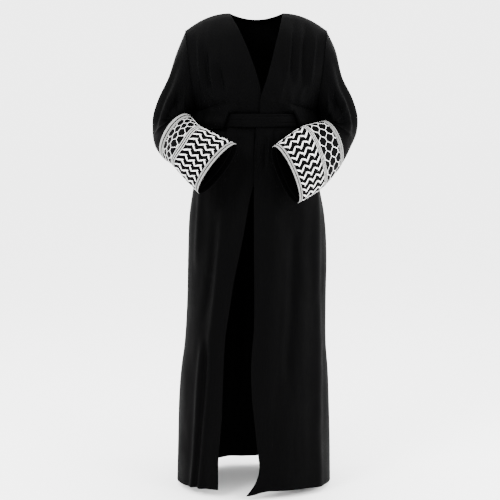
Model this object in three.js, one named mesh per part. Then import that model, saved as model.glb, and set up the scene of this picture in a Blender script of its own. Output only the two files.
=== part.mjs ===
// An open-front abaya in its worn form: a back, two lapped fronts, two wide drop-shoulder sleeves that bend
// forwards at the elbow, an embroidered panel and a border on each forearm, and a soft sash.
// Millimetres, +Z up. The wearer faces -Y, so the wearer's left is +X. The origin is at the base of the
// neck, level with the top of the shoulder seams, where the wearer's shoulders carry the garment.
import * as THREE from 'three';

// ---------------------------------------------------------------- driving dimensions
const WALL = 2;
const SASH_WALL = 2.4;
const SEAM_GAP = 0.3;

const SEAM_Y = 5;
const NECK_HALF_WIDTH = 78;
const NECK_Z = -10;
const BACK_NECK_DROP = 14;
const BACK_NECK_DEPTH = 57;

const SHOULDER_TIP_X = 206;
const SHOULDER_TIP_Z = -60;
const UNDERARM_X = 176;
const UNDERARM_Z = -296;
const ARMHOLE_HALF_DEPTH = 84;
// Share of the armhole's height above which the cloth takes the form of the shoulder seam.
const SHOULDER_FORM_FROM = 0.75;

const BELT_TOP_Z = -301;
const BELT_LOW_Z = -341;
const WAIST_SEAM_Z = -321;
const BLOUSE_REST_Z = -262;
const BELT_CLEARANCE = 0.9;
const LAP_LIFT = 3.5;
const LAP_CENTRE_X = 10;
const HEM_Z = -1400;
const HEM_SIDE_FALL = 14;
const HEM_CORNER_FALL = 15;
const HEM_CURVE_HEIGHT = 120;

const ARMHOLE_STEPS = 12;
const SKIRT_STEPS = 13;
const FRONT_COLUMNS = 22;
const BACK_SHOULDER_COLUMNS = 10;
const BACK_NECK_COLUMNS = 14;
const BELT_COLUMNS = 48;
const SLEEVE_STEPS = 11;
const BAND_STEPS = 6;
const CUFF_BORDER_WIDTH = 14;

// Half-widths and depths of the body at each level. "right" and "left" are the wearer's.
const BODY_LEVELS = [
  { z: -1420, right: 243, left: 229, front: 168, back: 178 },
  { z: -1300, right: 239, left: 227, front: 164, back: 174 },
  { z: -1170, right: 235, left: 223, front: 160, back: 168 },
  { z: -1075, right: 228, left: 219, front: 157, back: 163 },
  { z: -985, right: 216, left: 212, front: 153, back: 158 },
  { z: -860, right: 208, left: 211, front: 150, back: 154 },
  { z: -710, right: 204, left: 212, front: 145, back: 150 },
  { z: -600, right: 199, left: 204, front: 136, back: 146 },
  { z: -500, right: 184, left: 185, front: 122, back: 136 },
  { z: -400, right: 172, left: 172, front: 111, back: 121 },
  { z: -341, right: 167, left: 167, front: 105, back: 110 },
  { z: -301, right: 167, left: 167, front: 105, back: 108 },
  { z: -280, right: 172, left: 172, front: 113, back: 113 },
  { z: -230, right: 168, left: 168, front: 122, back: 116 },
  { z: -180, right: 172, left: 172, front: 122, back: 116 },
  { z: -140, right: 176, left: 176, front: 114, back: 111 },
  { z: -100, right: 180, left: 180, front: 97, back: 98 },
  { z: -60, right: 190, left: 190, front: 71, back: 74 },
  { z: -25, right: 200, left: 200, front: 29, back: 37 },
  { z: -10, right: 206, left: 206, front: -5, back: 5 },
];

// The free edge of each front, from the hem to the neck point.
const RIGHT_EDGE = [
  { z: -1400, x: -112 },
  { z: -1308, x: -111 },
  { z: -1189, x: -101 },
  { z: -1070, x: -96 },
  { z: -952, x: -90 },
  { z: -864, x: -77 },
  { z: -777, x: -63 },
  { z: -661, x: -39 },
  { z: -600, x: -28 },
  { z: -538, x: -16 },
  { z: -450, x: 12 },
  { z: -341, x: 27 },
  { z: -301, x: 25 },
  { z: -249, x: 17 },
  { z: -202, x: 5 },
  { z: -151, x: -12 },
  { z: -108, x: -28 },
  { z: -55, x: -52 },
  { z: -10, x: -78 },
];
const LEFT_EDGE = [
  { z: -1400, x: -30 },
  { z: -1365, x: -3 },
  { z: -1331, x: 9 },
  { z: -1277, x: 3 },
  { z: -1188, x: -6 },
  { z: -1129, x: -12 },
  { z: -1040, x: -15 },
  { z: -981, x: -12 },
  { z: -923, x: -7 },
  { z: -835, x: -6 },
  { z: -661, x: -7 },
  { z: -538, x: -7 },
  { z: -430, x: -5 },
  { z: -341, x: -1 },
  { z: -301, x: 2 },
  { z: -249, x: 14 },
  { z: -207, x: 27 },
  { z: -136, x: 46 },
  { z: -65, x: 64 },
  { z: -10, x: 78 },
];

// Long folds of the body: the line each runs along, its half-width and its depth (+ ridge, - trough).
const FRONT_FOLDS = [
  { topX: -161, topZ: -940, footX: -192, footZ: -1420, width: 15, depth: 8 },
  { topX: -140, topZ: -960, footX: -168, footZ: -1420, width: 14, depth: -7 },
  { topX: -88, topZ: -560, footX: -134, footZ: -960, width: 17, depth: 7 },
  { topX: -134, topZ: -900, footX: -148, footZ: -1420, width: 15, depth: 6 },
  { topX: -112, topZ: -600, footX: -158, footZ: -900, width: 16, depth: -6 },
  { topX: -160, topZ: -480, footX: -178, footZ: -760, width: 15, depth: 6 },
  { topX: -58, topZ: -420, footX: -70, footZ: -660, width: 17, depth: -5 },
  { topX: 190, topZ: -520, footX: 200, footZ: -1420, width: 16, depth: 7 },
  { topX: 160, topZ: -560, footX: 168, footZ: -1420, width: 18, depth: -6 },
  { topX: 112, topZ: -600, footX: 116, footZ: -1060, width: 24, depth: -8 },
  { topX: 62, topZ: -520, footX: 66, footZ: -1200, width: 24, depth: 5 },
  { topX: 95, topZ: -34, footX: 84, footZ: -230, width: 10, depth: 4 },
  { topX: 119, topZ: -34, footX: 104, footZ: -240, width: 10, depth: -4 },
  { topX: 141, topZ: -44, footX: 122, footZ: -250, width: 11, depth: 5 },
  { topX: 164, topZ: -60, footX: 146, footZ: -262, width: 12, depth: -7 },
  { topX: -148, topZ: -150, footX: -112, footZ: -300, width: 12, depth: 6 },
  { topX: -164, topZ: -90, footX: -140, footZ: -262, width: 12, depth: -7 },
  { topX: -120, topZ: -150, footX: -96, footZ: -262, width: 11, depth: -5 },
];
const BACK_FOLDS = [
  { topX: -150, topZ: -620, footX: -182, footZ: -1420, width: 20, depth: 8 },
  { topX: -108, topZ: -560, footX: -132, footZ: -1300, width: 20, depth: -8 },
  { topX: -62, topZ: -470, footX: -84, footZ: -1420, width: 22, depth: 9 },
  { topX: -18, topZ: -520, footX: -30, footZ: -1250, width: 20, depth: -7 },
  { topX: 26, topZ: -480, footX: 30, footZ: -1420, width: 22, depth: 8 },
  { topX: 74, topZ: -560, footX: 88, footZ: -1360, width: 20, depth: -8 },
  { topX: 118, topZ: -500, footX: 142, footZ: -1420, width: 20, depth: 8 },
  { topX: 158, topZ: -640, footX: 184, footZ: -1420, width: 18, depth: -6 },
  { topX: -128, topZ: -70, footX: -104, footZ: -262, width: 16, depth: 6 },
  { topX: -40, topZ: -90, footX: -52, footZ: -270, width: 18, depth: -4 },
  { topX: 52, topZ: -80, footX: 60, footZ: -270, width: 18, depth: 5 },
  { topX: 134, topZ: -70, footX: 112, footZ: -262, width: 16, depth: 6 },
];

// Gathers held by the sash: where each meets the sash, how far it runs up and down, and its depth there.
const FRONT_GATHERS = [
  { x: -132, up: 60, down: 120, depth: 4 },
  { x: -104, up: 100, down: 90, depth: 5 },
  { x: -76, up: 120, down: 150, depth: 5 },
  { x: -48, up: 70, down: 100, depth: 4 },
  { x: -20, up: 90, down: 130, depth: 4 },
  { x: 38, up: 60, down: 110, depth: 6 },
  { x: 66, up: 110, down: 120, depth: 4 },
  { x: 94, up: 120, down: 90, depth: 5 },
  { x: 124, up: 80, down: 130, depth: 4 },
];
const BACK_GATHERS = [
  { x: -126, up: 80, down: 120, depth: 5 },
  { x: -84, up: 110, down: 150, depth: 5 },
  { x: -44, up: 90, down: 110, depth: 5 },
  { x: -4, up: 120, down: 160, depth: 5 },
  { x: 38, up: 80, down: 120, depth: 5 },
  { x: 80, up: 110, down: 140, depth: 5 },
  { x: 122, up: 90, down: 110, depth: 5 },
];
const GATHER_HALF_WIDTH = 11;
// The gathers show in the blousing as they are at this height above the sash.
const BLOUSE_FOLD_HEIGHT = 25;
// Half-width of the waist over its half-depth.
const WAIST_FLATNESS = 1.6;

// The bodice is fuller than the waist: at the sides it puffs out above the sash, and nearer the side seams
// it hangs over it. A row's place is given three ways, "out" from the waist: flat, puffed, and hanging.
// "flat" and "up" are shares of the height from the sash to the underarm.
const BLOUSE_ROWS = [
  { flat: 0.08, puffOut: 2, puffUp: 0.03, hangOut: 2.6, hangZ: -300.4, fold: 0 },
  { flat: 0.17, puffOut: 4.5, puffUp: 0.06, hangOut: 6.4, hangZ: -303.5, fold: 0 },
  { flat: 0.25, puffOut: 7, puffUp: 0.1, hangOut: 6.6, hangZ: -322, fold: 0 },
  { flat: 0.33, puffOut: 8.6, puffUp: 0.18, hangOut: 7.6, hangZ: -338, fold: 0 },
  { flat: 0.42, puffOut: 9, puffUp: 0.3, hangOut: 11.5, hangZ: -345, fold: 0.3 },
  { flat: 0.52, puffOut: 8.4, puffUp: 0.44, hangOut: 15, hangZ: -339, fold: 0.8 },
  { flat: 0.65, puffOut: 6.6, puffUp: 0.6, hangOut: 16.5, hangZ: -325, fold: 0.8 },
  { flat: 0.82, puffOut: 3.6, puffUp: 0.82, hangOut: 13, hangZ: -307, fold: 0.3 },
];
// Shares of the half-width between which the cloth comes to puff out, and to hang over the sash.
const BLOUSE_REACH = {
  back: { puffFrom: 0.35, puffTo: 0.6, hangFrom: 0.6, hangTo: 0.8 },
  right: { puffFrom: 0.28, puffTo: 0.45, hangFrom: 0.43, hangTo: 0.6 },
  left: { puffFrom: 0.42, puffTo: 0.6, hangFrom: 0.6, hangTo: 0.76 },
};

// Sections of each sleeve from the armhole to the cuff, with x measured outwards from the centre line.
// "outer" runs down the back of the arm and under the forearm, "inner" from the underarm over its top.
// "half" is half the section's depth, and "yaw" turns its front face outwards, in degrees.
const LEFT_SLEEVE = [
  {
    outer: [SHOULDER_TIP_X, SEAM_Y, SHOULDER_TIP_Z],
    inner: [UNDERARM_X, SEAM_Y, UNDERARM_Z],
    half: ARMHOLE_HALF_DEPTH,
    yaw: 0,
  },
  { outer: [233, 7, -116], inner: [181, 2, -305], half: 84, yaw: 2 },
  { outer: [250, 10, -195], inner: [185, -2, -313], half: 82, yaw: 7 },
  { outer: [274, 13, -258], inner: [188, -8, -319], half: 77, yaw: 13 },
  { outer: [291, 9, -318], inner: [191, -16, -322], half: 72, yaw: 19 },
  { outer: [291, -4, -364], inner: [194, -26, -323], half: 68, yaw: 24 },
  { outer: [264, -28, -418], inner: [196, -38, -323], half: 65, yaw: 28 },
  { outer: [237, -48, -460], inner: [197, -50, -323], half: 62, yaw: 30 },
  { outer: [214, -82, -489], inner: [166, -86, -330], half: 53, yaw: 31 },
  { outer: [190, -116, -512], inner: [133, -124, -338], half: 46, yaw: 32 },
  { outer: [153, -150, -534], inner: [90, -158, -364], half: 44, yaw: 33 },
  { outer: [115, -180, -553], inner: [47, -186, -394], half: 40, yaw: 34 },
];
const RIGHT_SLEEVE = [
  {
    outer: [SHOULDER_TIP_X, SEAM_Y, SHOULDER_TIP_Z],
    inner: [UNDERARM_X, SEAM_Y, UNDERARM_Z],
    half: ARMHOLE_HALF_DEPTH,
    yaw: 0,
  },
  { outer: [233, 7, -122], inner: [181, 2, -303], half: 84, yaw: 2 },
  { outer: [257, 10, -200], inner: [186, -2, -309], half: 82, yaw: 7 },
  { outer: [280, 12, -262], inner: [190, -8, -312], half: 77, yaw: 13 },
  { outer: [297, 9, -318], inner: [194, -16, -311], half: 72, yaw: 20 },
  { outer: [301, -3, -360], inner: [197, -26, -308], half: 68, yaw: 26 },
  { outer: [291, -24, -402], inner: [199, -38, -305], half: 65, yaw: 31 },
  { outer: [270, -46, -430], inner: [199, -50, -303], half: 63, yaw: 36 },
  { outer: [254, -80, -441], inner: [181, -84, -320], half: 56, yaw: 38 },
  { outer: [236, -116, -451], inner: [161, -122, -337], half: 56, yaw: 39 },
  { outer: [199, -148, -490], inner: [108, -154, -363], half: 47, yaw: 38 },
  { outer: [161, -174, -526], inner: [55, -182, -388], half: 40, yaw: 37 },
];
const ELBOW_SECTION = 7;

// Folds of the sleeve cloth: turn round the section (degrees from the outer line through the front),
// where along the sleeve it starts and ends (0 armhole, 1 elbow seam), half-width in degrees and depth.
const SLEEVE_FOLDS = [
  { turn: 62, from: 0.1, to: 0.8, width: 20, depth: 6 },
  { turn: 112, from: 0.05, to: 0.7, width: 20, depth: -6 },
  { turn: 140, from: 0.2, to: 0.75, width: 18, depth: 5 },
  { turn: 238, from: 0.1, to: 0.9, width: 22, depth: 6 },
  { turn: 292, from: 0.15, to: 0.85, width: 22, depth: -6 },
];

// ---------------------------------------------------------------- finishes
function cloth(color, roughness) {
  return new THREE.MeshStandardMaterial({ color, roughness, metalness: 0 });
}

const blackCrepe = () => cloth(0x0e0e10, 0.85);
const embroideredCloth = () => cloth(0xb4b3b0, 0.9);
const borderStitching = () => cloth(0xdad9d6, 0.9);

// ---------------------------------------------------------------- small helpers
const lerp = THREE.MathUtils.lerp;
const degrees = THREE.MathUtils.degToRad;

function point(coordinates) {
  return new THREE.Vector3(coordinates[0], coordinates[1], coordinates[2]);
}

// 0 at "from", 1 at "to", smooth between. "from" may be the larger of the two.
function rise(value, from, to) {
  const share = THREE.MathUtils.clamp((value - from) / (to - from), 0, 1);
  return share * share * (3 - 2 * share);
}

// Smooth curve through one column of a table sorted by "key".
function column(table, key, name, at) {
  const last = table.length - 1;
  const place = Math.min(Math.max(at, table[0][key]), table[last][key]);
  let i = 0;
  while (i < last - 1 && place > table[i + 1][key]) {
    i += 1;
  }
  const here = table[i];
  const next = table[i + 1];
  const before = table[Math.max(i - 1, 0)];
  const after = table[Math.min(i + 2, last)];
  const span = next[key] - here[key];
  const f = (place - here[key]) / span;
  const slopeHere = ((next[name] - before[name]) / (next[key] - before[key])) * span;
  const slopeNext = ((after[name] - here[name]) / (after[key] - here[key])) * span;
  const f2 = f * f;
  const f3 = f2 * f;
  return (2 * f3 - 3 * f2 + 1) * here[name] + (f3 - 2 * f2 + f) * slopeHere
    + (3 * f2 - 2 * f3) * next[name] + (f3 - f2) * slopeNext;
}

// ---------------------------------------------------------------- body surface
// The armhole is an ellipse between the shoulder tip and the underarm. Turn 0 is the tip, 180 degrees the
// underarm, and the front lies between them.
const armholeTip = new THREE.Vector3(SHOULDER_TIP_X, SEAM_Y, SHOULDER_TIP_Z);
const armholeFoot = new THREE.Vector3(UNDERARM_X, SEAM_Y, UNDERARM_Z);
const armholeCentre = armholeTip.clone().add(armholeFoot).multiplyScalar(0.5);
const armholeHalf = armholeTip.clone().sub(armholeFoot).multiplyScalar(0.5);

function armholePoint(turn) {
  const place = armholeCentre.clone().addScaledVector(armholeHalf, Math.cos(turn));
  place.y -= ARMHOLE_HALF_DEPTH * Math.sin(turn);
  return place;
}

function armholeNormal(turn) {
  const along = armholeHalf.clone().multiplyScalar(Math.cos(turn) / armholeHalf.lengthSq());
  along.y -= Math.sin(turn) / ARMHOLE_HALF_DEPTH;
  return along.normalize();
}

// The rows of a skirt panel, from the hem to the waist seam. Each has the level of its middle.
function skirtRows() {
  const rows = [];
  for (let i = 0; i < SKIRT_STEPS; i += 1) {
    const share = i / SKIRT_STEPS;
    rows.push({ z: lerp(HEM_Z, BELT_LOW_Z, 1 - (1 - share) ** 1.25) });
  }
  rows.push({ z: BELT_LOW_Z });
  rows.push({ z: WAIST_SEAM_Z });
  return rows;
}

// The rows of a bodice panel, from the waist seam to the shoulder seam. Above the underarm, each has its
// turn round the armhole too.
function bodiceRows() {
  const rows = [{ z: WAIST_SEAM_Z }, { z: BELT_TOP_Z }];
  for (const blouse of BLOUSE_ROWS) {
    rows.push({ z: lerp(BELT_TOP_Z, BLOUSE_REST_Z, blouse.flat), blouse });
  }
  for (let i = 0; i <= ARMHOLE_STEPS; i += 1) {
    const share = i / ARMHOLE_STEPS;
    rows.push({ z: lerp(BLOUSE_REST_Z, NECK_Z, share), turn: Math.PI * (1 - share) });
  }
  return rows;
}

const SKIRT_ROWS = skirtRows();
const BODICE_ROWS = bodiceRows();

// Where a row of the panel ends, on the side seam or the armhole.
function rowEnd(row, side, facing) {
  const end = row.turn === undefined
    ? new THREE.Vector3(column(BODY_LEVELS, 'z', side > 0 ? 'left' : 'right', row.z), SEAM_Y, row.z)
    : armholePoint(facing < 0 ? row.turn : -row.turn);
  end.x *= side;
  return end;
}

function foldDepth(folds, x, z, halfWidth, halfDepth) {
  const reach = (halfWidth + halfDepth) / 2;
  const turn = (place) => Math.asin(THREE.MathUtils.clamp(place / halfWidth, -1, 1));
  const here = turn(x);
  let depth = 0;
  for (const fold of folds) {
    const share = THREE.MathUtils.clamp((fold.topZ - z) / (fold.topZ - fold.footZ), 0, 1);
    const away = (here - turn(lerp(fold.topX, fold.footX, share))) * reach;
    const fade = Math.min(90, (fold.topZ - fold.footZ) / 3);
    const top = rise(z, fold.topZ, fold.topZ - fade);
    const foot = fold.footZ < HEM_Z ? 1 : rise(z, fold.footZ, fold.footZ + fade);
    depth += fold.depth * top * foot * Math.exp(-((away / fold.width) ** 2));
  }
  return depth;
}

function gatherDepth(gathers, x, z, halfWidth, halfDepth) {
  const reach = (halfWidth + halfDepth) / 2;
  let depth = 0;
  for (const gather of gathers) {
    const above = z > BELT_TOP_Z;
    const away = above ? z - BELT_TOP_Z : BELT_LOW_Z - z;
    const run = above ? gather.up : gather.down;
    if (away <= 0 || away >= run) {
      continue;
    }
    const swell = rise(away, 0, run * 0.25) * rise(away, run, run * 0.35);
    const spread = 1 + away / run / 2;
    const turn = Math.asin(THREE.MathUtils.clamp(x / halfWidth, -1, 1));
    const home = Math.asin(THREE.MathUtils.clamp(gather.x / halfWidth, -1, 1));
    const across = ((turn - home) * reach) / (GATHER_HALF_WIDTH * spread);
    depth += gather.depth * swell * Math.exp(-across * across);
  }
  return depth;
}

// How far the fronts stand apart where they lap over each other, near the middle of the waist.
function lapShare(x, z) {
  const across = rise(Math.abs(x - LAP_CENTRE_X), 100, 40);
  const along = rise(z, -680, -580) * rise(z, -130, -215);
  return across * along;
}

// Where an x lies between the neck point (0) and the shoulder tip (1).
function shoulderShare(x) {
  const share = (Math.abs(x) - NECK_HALF_WIDTH) / (SHOULDER_TIP_X - NECK_HALF_WIDTH);
  return THREE.MathUtils.clamp(share, 0, 1);
}

// A point of the body's outer face. "facing" is -1 on the front and 1 on the back, x is signed, and
// "share" is its place between the middle (0) and the end (1) of the row.
function bodyPoint(row, side, facing, share, lift) {
  const end = rowEnd(row, side, facing);
  const halfWidth = Math.abs(end.x);
  const halfDepth = column(BODY_LEVELS, 'z', facing < 0 ? 'front' : 'back', row.z);
  const height = row.turn === undefined ? 0 : (Math.PI - row.turn) / Math.PI;
  const squareness = lerp(2, 1.1, rise(height, 0, 0.35));
  const round = Math.max(0, 1 - Math.abs(share) ** 2.2) ** (1 / squareness);
  const x = halfWidth * share;
  const tilt = lerp(Math.abs(share) ** 1.5, shoulderShare(x) ** 2, rise(height, SHOULDER_FORM_FROM, 1));
  const z = lerp(row.z, end.z, tilt);
  const y = lerp(end.y, facing * halfDepth, round);
  const place = new THREE.Vector3(x, y, z);
  const outward = new THREE.Vector3(
    (Math.abs(share) ** 1.2 * Math.sign(share)) / halfWidth,
    (facing * round) / Math.max(halfDepth, 40),
    0,
  ).normalize();
  const shoulderCalm = rise(height, 1, 0.9);
  const folds = facing < 0 ? FRONT_FOLDS : BACK_FOLDS;
  const gathers = facing < 0 ? FRONT_GATHERS : BACK_GATHERS;
  const ripple = foldDepth(folds, x, z, halfWidth, halfDepth)
    + gatherDepth(gathers, x, z, halfWidth, halfDepth);
  const seamCalm = rise(Math.abs(share), 1, 0.95);
  const raise = facing < 0 ? lift * lapShare(x, z) : 0;
  return place.addScaledVector(outward, ripple * shoulderCalm * seamCalm + raise);
}

// A point of the bodice between the sash and the underarm, flat, puffed out or hanging over the sash.
function blousePoint(row, side, facing, share, lift) {
  const { blouse } = row;
  const waist = bodyPoint({ z: BELT_TOP_Z }, side, facing, share, lift);
  const above = bodyPoint({ z: BLOUSE_REST_Z, turn: Math.PI }, side, facing, share, lift);
  const frontwards = WAIST_FLATNESS * Math.sqrt(1 - share * share);
  const outward = new THREE.Vector3(share, facing * frontwards, 0).normalize();
  const reach = BLOUSE_REACH[facing > 0 ? 'back' : side > 0 ? 'left' : 'right'];
  const puffed = rise(Math.abs(share), reach.puffFrom, reach.puffTo);
  const hanging = rise(Math.abs(share), reach.hangFrom, reach.hangTo);
  const gathers = facing < 0 ? FRONT_GATHERS : BACK_GATHERS;
  const depth = Math.abs(waist.y);
  const fold = blouse.fold * rise(Math.abs(share), 1, 0.9)
    * gatherDepth(gathers, waist.x, BELT_TOP_Z + BLOUSE_FOLD_HEIGHT, UNDERARM_X, depth);
  const flat = waist.clone().lerp(above, blouse.flat);
  const puff = waist.clone().lerp(above, blouse.puffUp).addScaledVector(outward, blouse.puffOut);
  const hang = waist.clone().addScaledVector(outward, blouse.hangOut + fold);
  hang.z = blouse.hangZ;
  return flat.lerp(puff, puffed).lerp(hang, hanging);
}

function panelPoint(row, side, facing, share, lift) {
  return (row.blouse ? blousePoint : bodyPoint)(row, side, facing, share, lift);
}

// ---------------------------------------------------------------- walls
// Normals of a grid of points by central differences. "wraps" joins the last column to the first.
function gridNormals(grid, wraps, sign) {
  const rows = grid.length;
  const columns = grid[0].length;
  return grid.map((line, r) => line.map((_, c) => {
    const up = grid[Math.min(r + 1, rows - 1)][c].clone().sub(grid[Math.max(r - 1, 0)][c]);
    const next = wraps ? (c + 1) % columns : Math.min(c + 1, columns - 1);
    const previous = wraps ? (c + columns - 1) % columns : Math.max(c - 1, 0);
    const across = line[next].clone().sub(line[previous]);
    return across.cross(up).normalize().multiplyScalar(sign);
  }));
}

// Draws the edge of a sheet back from its seam, so that neighbouring pieces stand apart.
function drawBack(line, neighbours) {
  line.forEach((place, i) => {
    const step = neighbours[i].clone().sub(place).setLength(SEAM_GAP / 2);
    place.add(step);
  });
}

function easeSeams(grid, seams) {
  const rows = grid.length;
  const columns = grid[0].length;
  if (seams.includes('first row')) {
    drawBack(grid[0], grid[1]);
  }
  if (seams.includes('last row')) {
    drawBack(grid[rows - 1], grid[rows - 2]);
  }
  if (seams.includes('first column')) {
    drawBack(grid.map((line) => line[0]), grid.map((line) => line[1]));
  }
  if (seams.includes('last column')) {
    drawBack(grid.map((line) => line[columns - 1]), grid.map((line) => line[columns - 2]));
  }
}

// A closed solid between an outer grid and an inner one, rimmed along every open edge.
function wallGeometry(outer, inner, wraps) {
  const rows = outer.length;
  const columns = outer[0].length;
  const positions = [];
  for (const grid of [outer, inner]) {
    for (const line of grid) {
      for (const place of line) {
        positions.push(place.x, place.y, place.z);
      }
    }
  }
  const shift = rows * columns;
  const at = (r, c) => r * columns + (c % columns);
  const faces = [];
  const quad = (a, b, c, d) => faces.push(a, b, c, a, c, d);
  const spans = wraps ? columns : columns - 1;
  for (let r = 0; r < rows - 1; r += 1) {
    for (let c = 0; c < spans; c += 1) {
      quad(at(r, c), at(r, c + 1), at(r + 1, c + 1), at(r + 1, c));
      quad(shift + at(r, c), shift + at(r + 1, c), shift + at(r + 1, c + 1), shift + at(r, c + 1));
    }
  }
  for (let c = 0; c < spans; c += 1) {
    quad(at(0, c + 1), at(0, c), shift + at(0, c), shift + at(0, c + 1));
    quad(at(rows - 1, c), at(rows - 1, c + 1), shift + at(rows - 1, c + 1), shift + at(rows - 1, c));
  }
  for (let r = 0; r < rows - 1 && !wraps; r += 1) {
    quad(at(r, 0), at(r + 1, 0), shift + at(r + 1, 0), shift + at(r, 0));
    const c = columns - 1;
    quad(at(r + 1, c), at(r, c), shift + at(r, c), shift + at(r + 1, c));
  }
  if (signedVolume(positions, faces) < 0) {
    faces.reverse();
  }
  const geometry = new THREE.BufferGeometry();
  geometry.setAttribute('position', new THREE.Float32BufferAttribute(positions, 3));
  geometry.setIndex(faces);
  geometry.computeVertexNormals();
  return geometry;
}

function signedVolume(positions, faces) {
  const corner = (i) => new THREE.Vector3().fromArray(positions, faces[i] * 3);
  let volume = 0;
  for (let i = 0; i < faces.length; i += 3) {
    volume += corner(i).dot(corner(i + 1).cross(corner(i + 2)));
  }
  return volume;
}

function clothMesh(name, grid, normals, seams, wraps, material, thickness = WALL) {
  const outer = grid.map((line) => line.map((place) => place.clone()));
  const inner = grid.map((line, r) => line.map(
    (place, c) => place.clone().addScaledVector(normals[r][c], -thickness),
  ));
  easeSeams(outer, seams);
  easeSeams(inner, seams);
  const mesh = new THREE.Mesh(wallGeometry(outer, inner, wraps), material);
  mesh.name = name;
  return mesh;
}

// ---------------------------------------------------------------- front and back panels
// The shoulder seam leaves the neck level and falls more and more steeply to the shoulder tip. "share"
// runs from the neck point (0) to the tip (1).
function shoulderSeam(side, share) {
  const x = lerp(NECK_HALF_WIDTH, SHOULDER_TIP_X, share);
  return new THREE.Vector3(side * x, SEAM_Y, lerp(NECK_Z, SHOULDER_TIP_Z, share * share));
}

function shoulderNormal(side, share) {
  const run = SHOULDER_TIP_X - NECK_HALF_WIDTH;
  const fall = 2 * share * (NECK_Z - SHOULDER_TIP_Z);
  return new THREE.Vector3(side * fall, 0, run).normalize();
}

// The normal that both panels share at the end of row r, so their walls meet edge to edge. "line" holds
// the ends of all rows.
function endNormal(rows, r, side, facing, line) {
  const { turn } = rows[r];
  if (turn !== undefined) {
    const normal = armholeNormal(facing < 0 ? turn : -turn);
    normal.x *= side;
    return normal;
  }
  const run = line[Math.min(r + 1, rows.length - 1)].clone().sub(line[Math.max(r - 1, 0)]);
  return new THREE.Vector3(run.z, 0, -run.x).multiplyScalar(side).normalize();
}

// How far the hem falls below its level at the middle: towards the side seams, and on the wearer's left
// front also towards the corner of its free edge.
function hemFall(share, z, fromEdge) {
  const sideFall = HEM_SIDE_FALL * Math.abs(share) ** 3;
  const cornerFall = HEM_CORNER_FALL * rise(fromEdge, 70, 0);
  return (sideFall + cornerFall) * rise(z, HEM_Z + HEM_CURVE_HEIGHT, HEM_Z);
}

function frontPanel(name, side, rows) {
  const edge = side > 0 ? LEFT_EDGE : RIGHT_EDGE;
  const isBodice = rows === BODICE_ROWS;
  const lift = side > 0 ? LAP_LIFT : -LAP_LIFT;
  const grid = rows.map((row, r) => {
    const halfWidth = Math.abs(rowEnd(row, side, -1).x);
    const edgeX = column(edge, 'z', 'x', row.z);
    const start = Math.asin((edgeX * side) / halfWidth);
    const line = [];
    for (let c = 0; c <= FRONT_COLUMNS; c += 1) {
      const share = Math.sin(lerp(start, Math.PI / 2, c / FRONT_COLUMNS));
      const place = panelPoint(row, side, -1, share * side, lift);
      const fromEdge = side > 0 ? Math.abs(place.x - edgeX) : Infinity;
      place.z -= hemFall(share, row.z, fromEdge);
      line.push(place);
    }
    if (isBodice && r === rows.length - 1) {
      layOnShoulder(line, side);
    }
    return line;
  });
  const normals = gridNormals(grid, false, side);
  const ends = grid.map((line) => line[FRONT_COLUMNS]);
  rows.forEach((row, r) => {
    normals[r][FRONT_COLUMNS] = endNormal(rows, r, side, -1, ends);
  });
  if (isBodice) {
    normals[rows.length - 1] = grid[rows.length - 1].map(
      (place) => shoulderNormal(side, shoulderShare(place.x)),
    );
  }
  const seams = isBodice ? ['first row', 'last row', 'last column'] : ['last row', 'last column'];
  return clothMesh(name, grid, normals, seams, false, blackCrepe());
}

// Lays a row exactly on the shoulder seam.
function layOnShoulder(line, side) {
  for (const place of line) {
    place.copy(shoulderSeam(side, shoulderShare(place.x)));
  }
}

// Places across the back, from the right end (-1) to the left one (1), with a column on each neck point.
function backShares(rightEnd, leftEnd) {
  const shares = [];
  const rightNeck = Math.asin(NECK_HALF_WIDTH / rightEnd);
  const leftNeck = Math.asin(NECK_HALF_WIDTH / leftEnd);
  for (let c = 0; c < BACK_SHOULDER_COLUMNS; c += 1) {
    shares.push(Math.sin(lerp(-Math.PI / 2, -rightNeck, c / BACK_SHOULDER_COLUMNS)));
  }
  for (let c = 0; c < BACK_NECK_COLUMNS; c += 1) {
    shares.push(Math.sin(lerp(-rightNeck, leftNeck, c / BACK_NECK_COLUMNS)));
  }
  for (let c = 0; c <= BACK_SHOULDER_COLUMNS; c += 1) {
    shares.push(Math.sin(lerp(leftNeck, Math.PI / 2, c / BACK_SHOULDER_COLUMNS)));
  }
  return shares;
}

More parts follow.
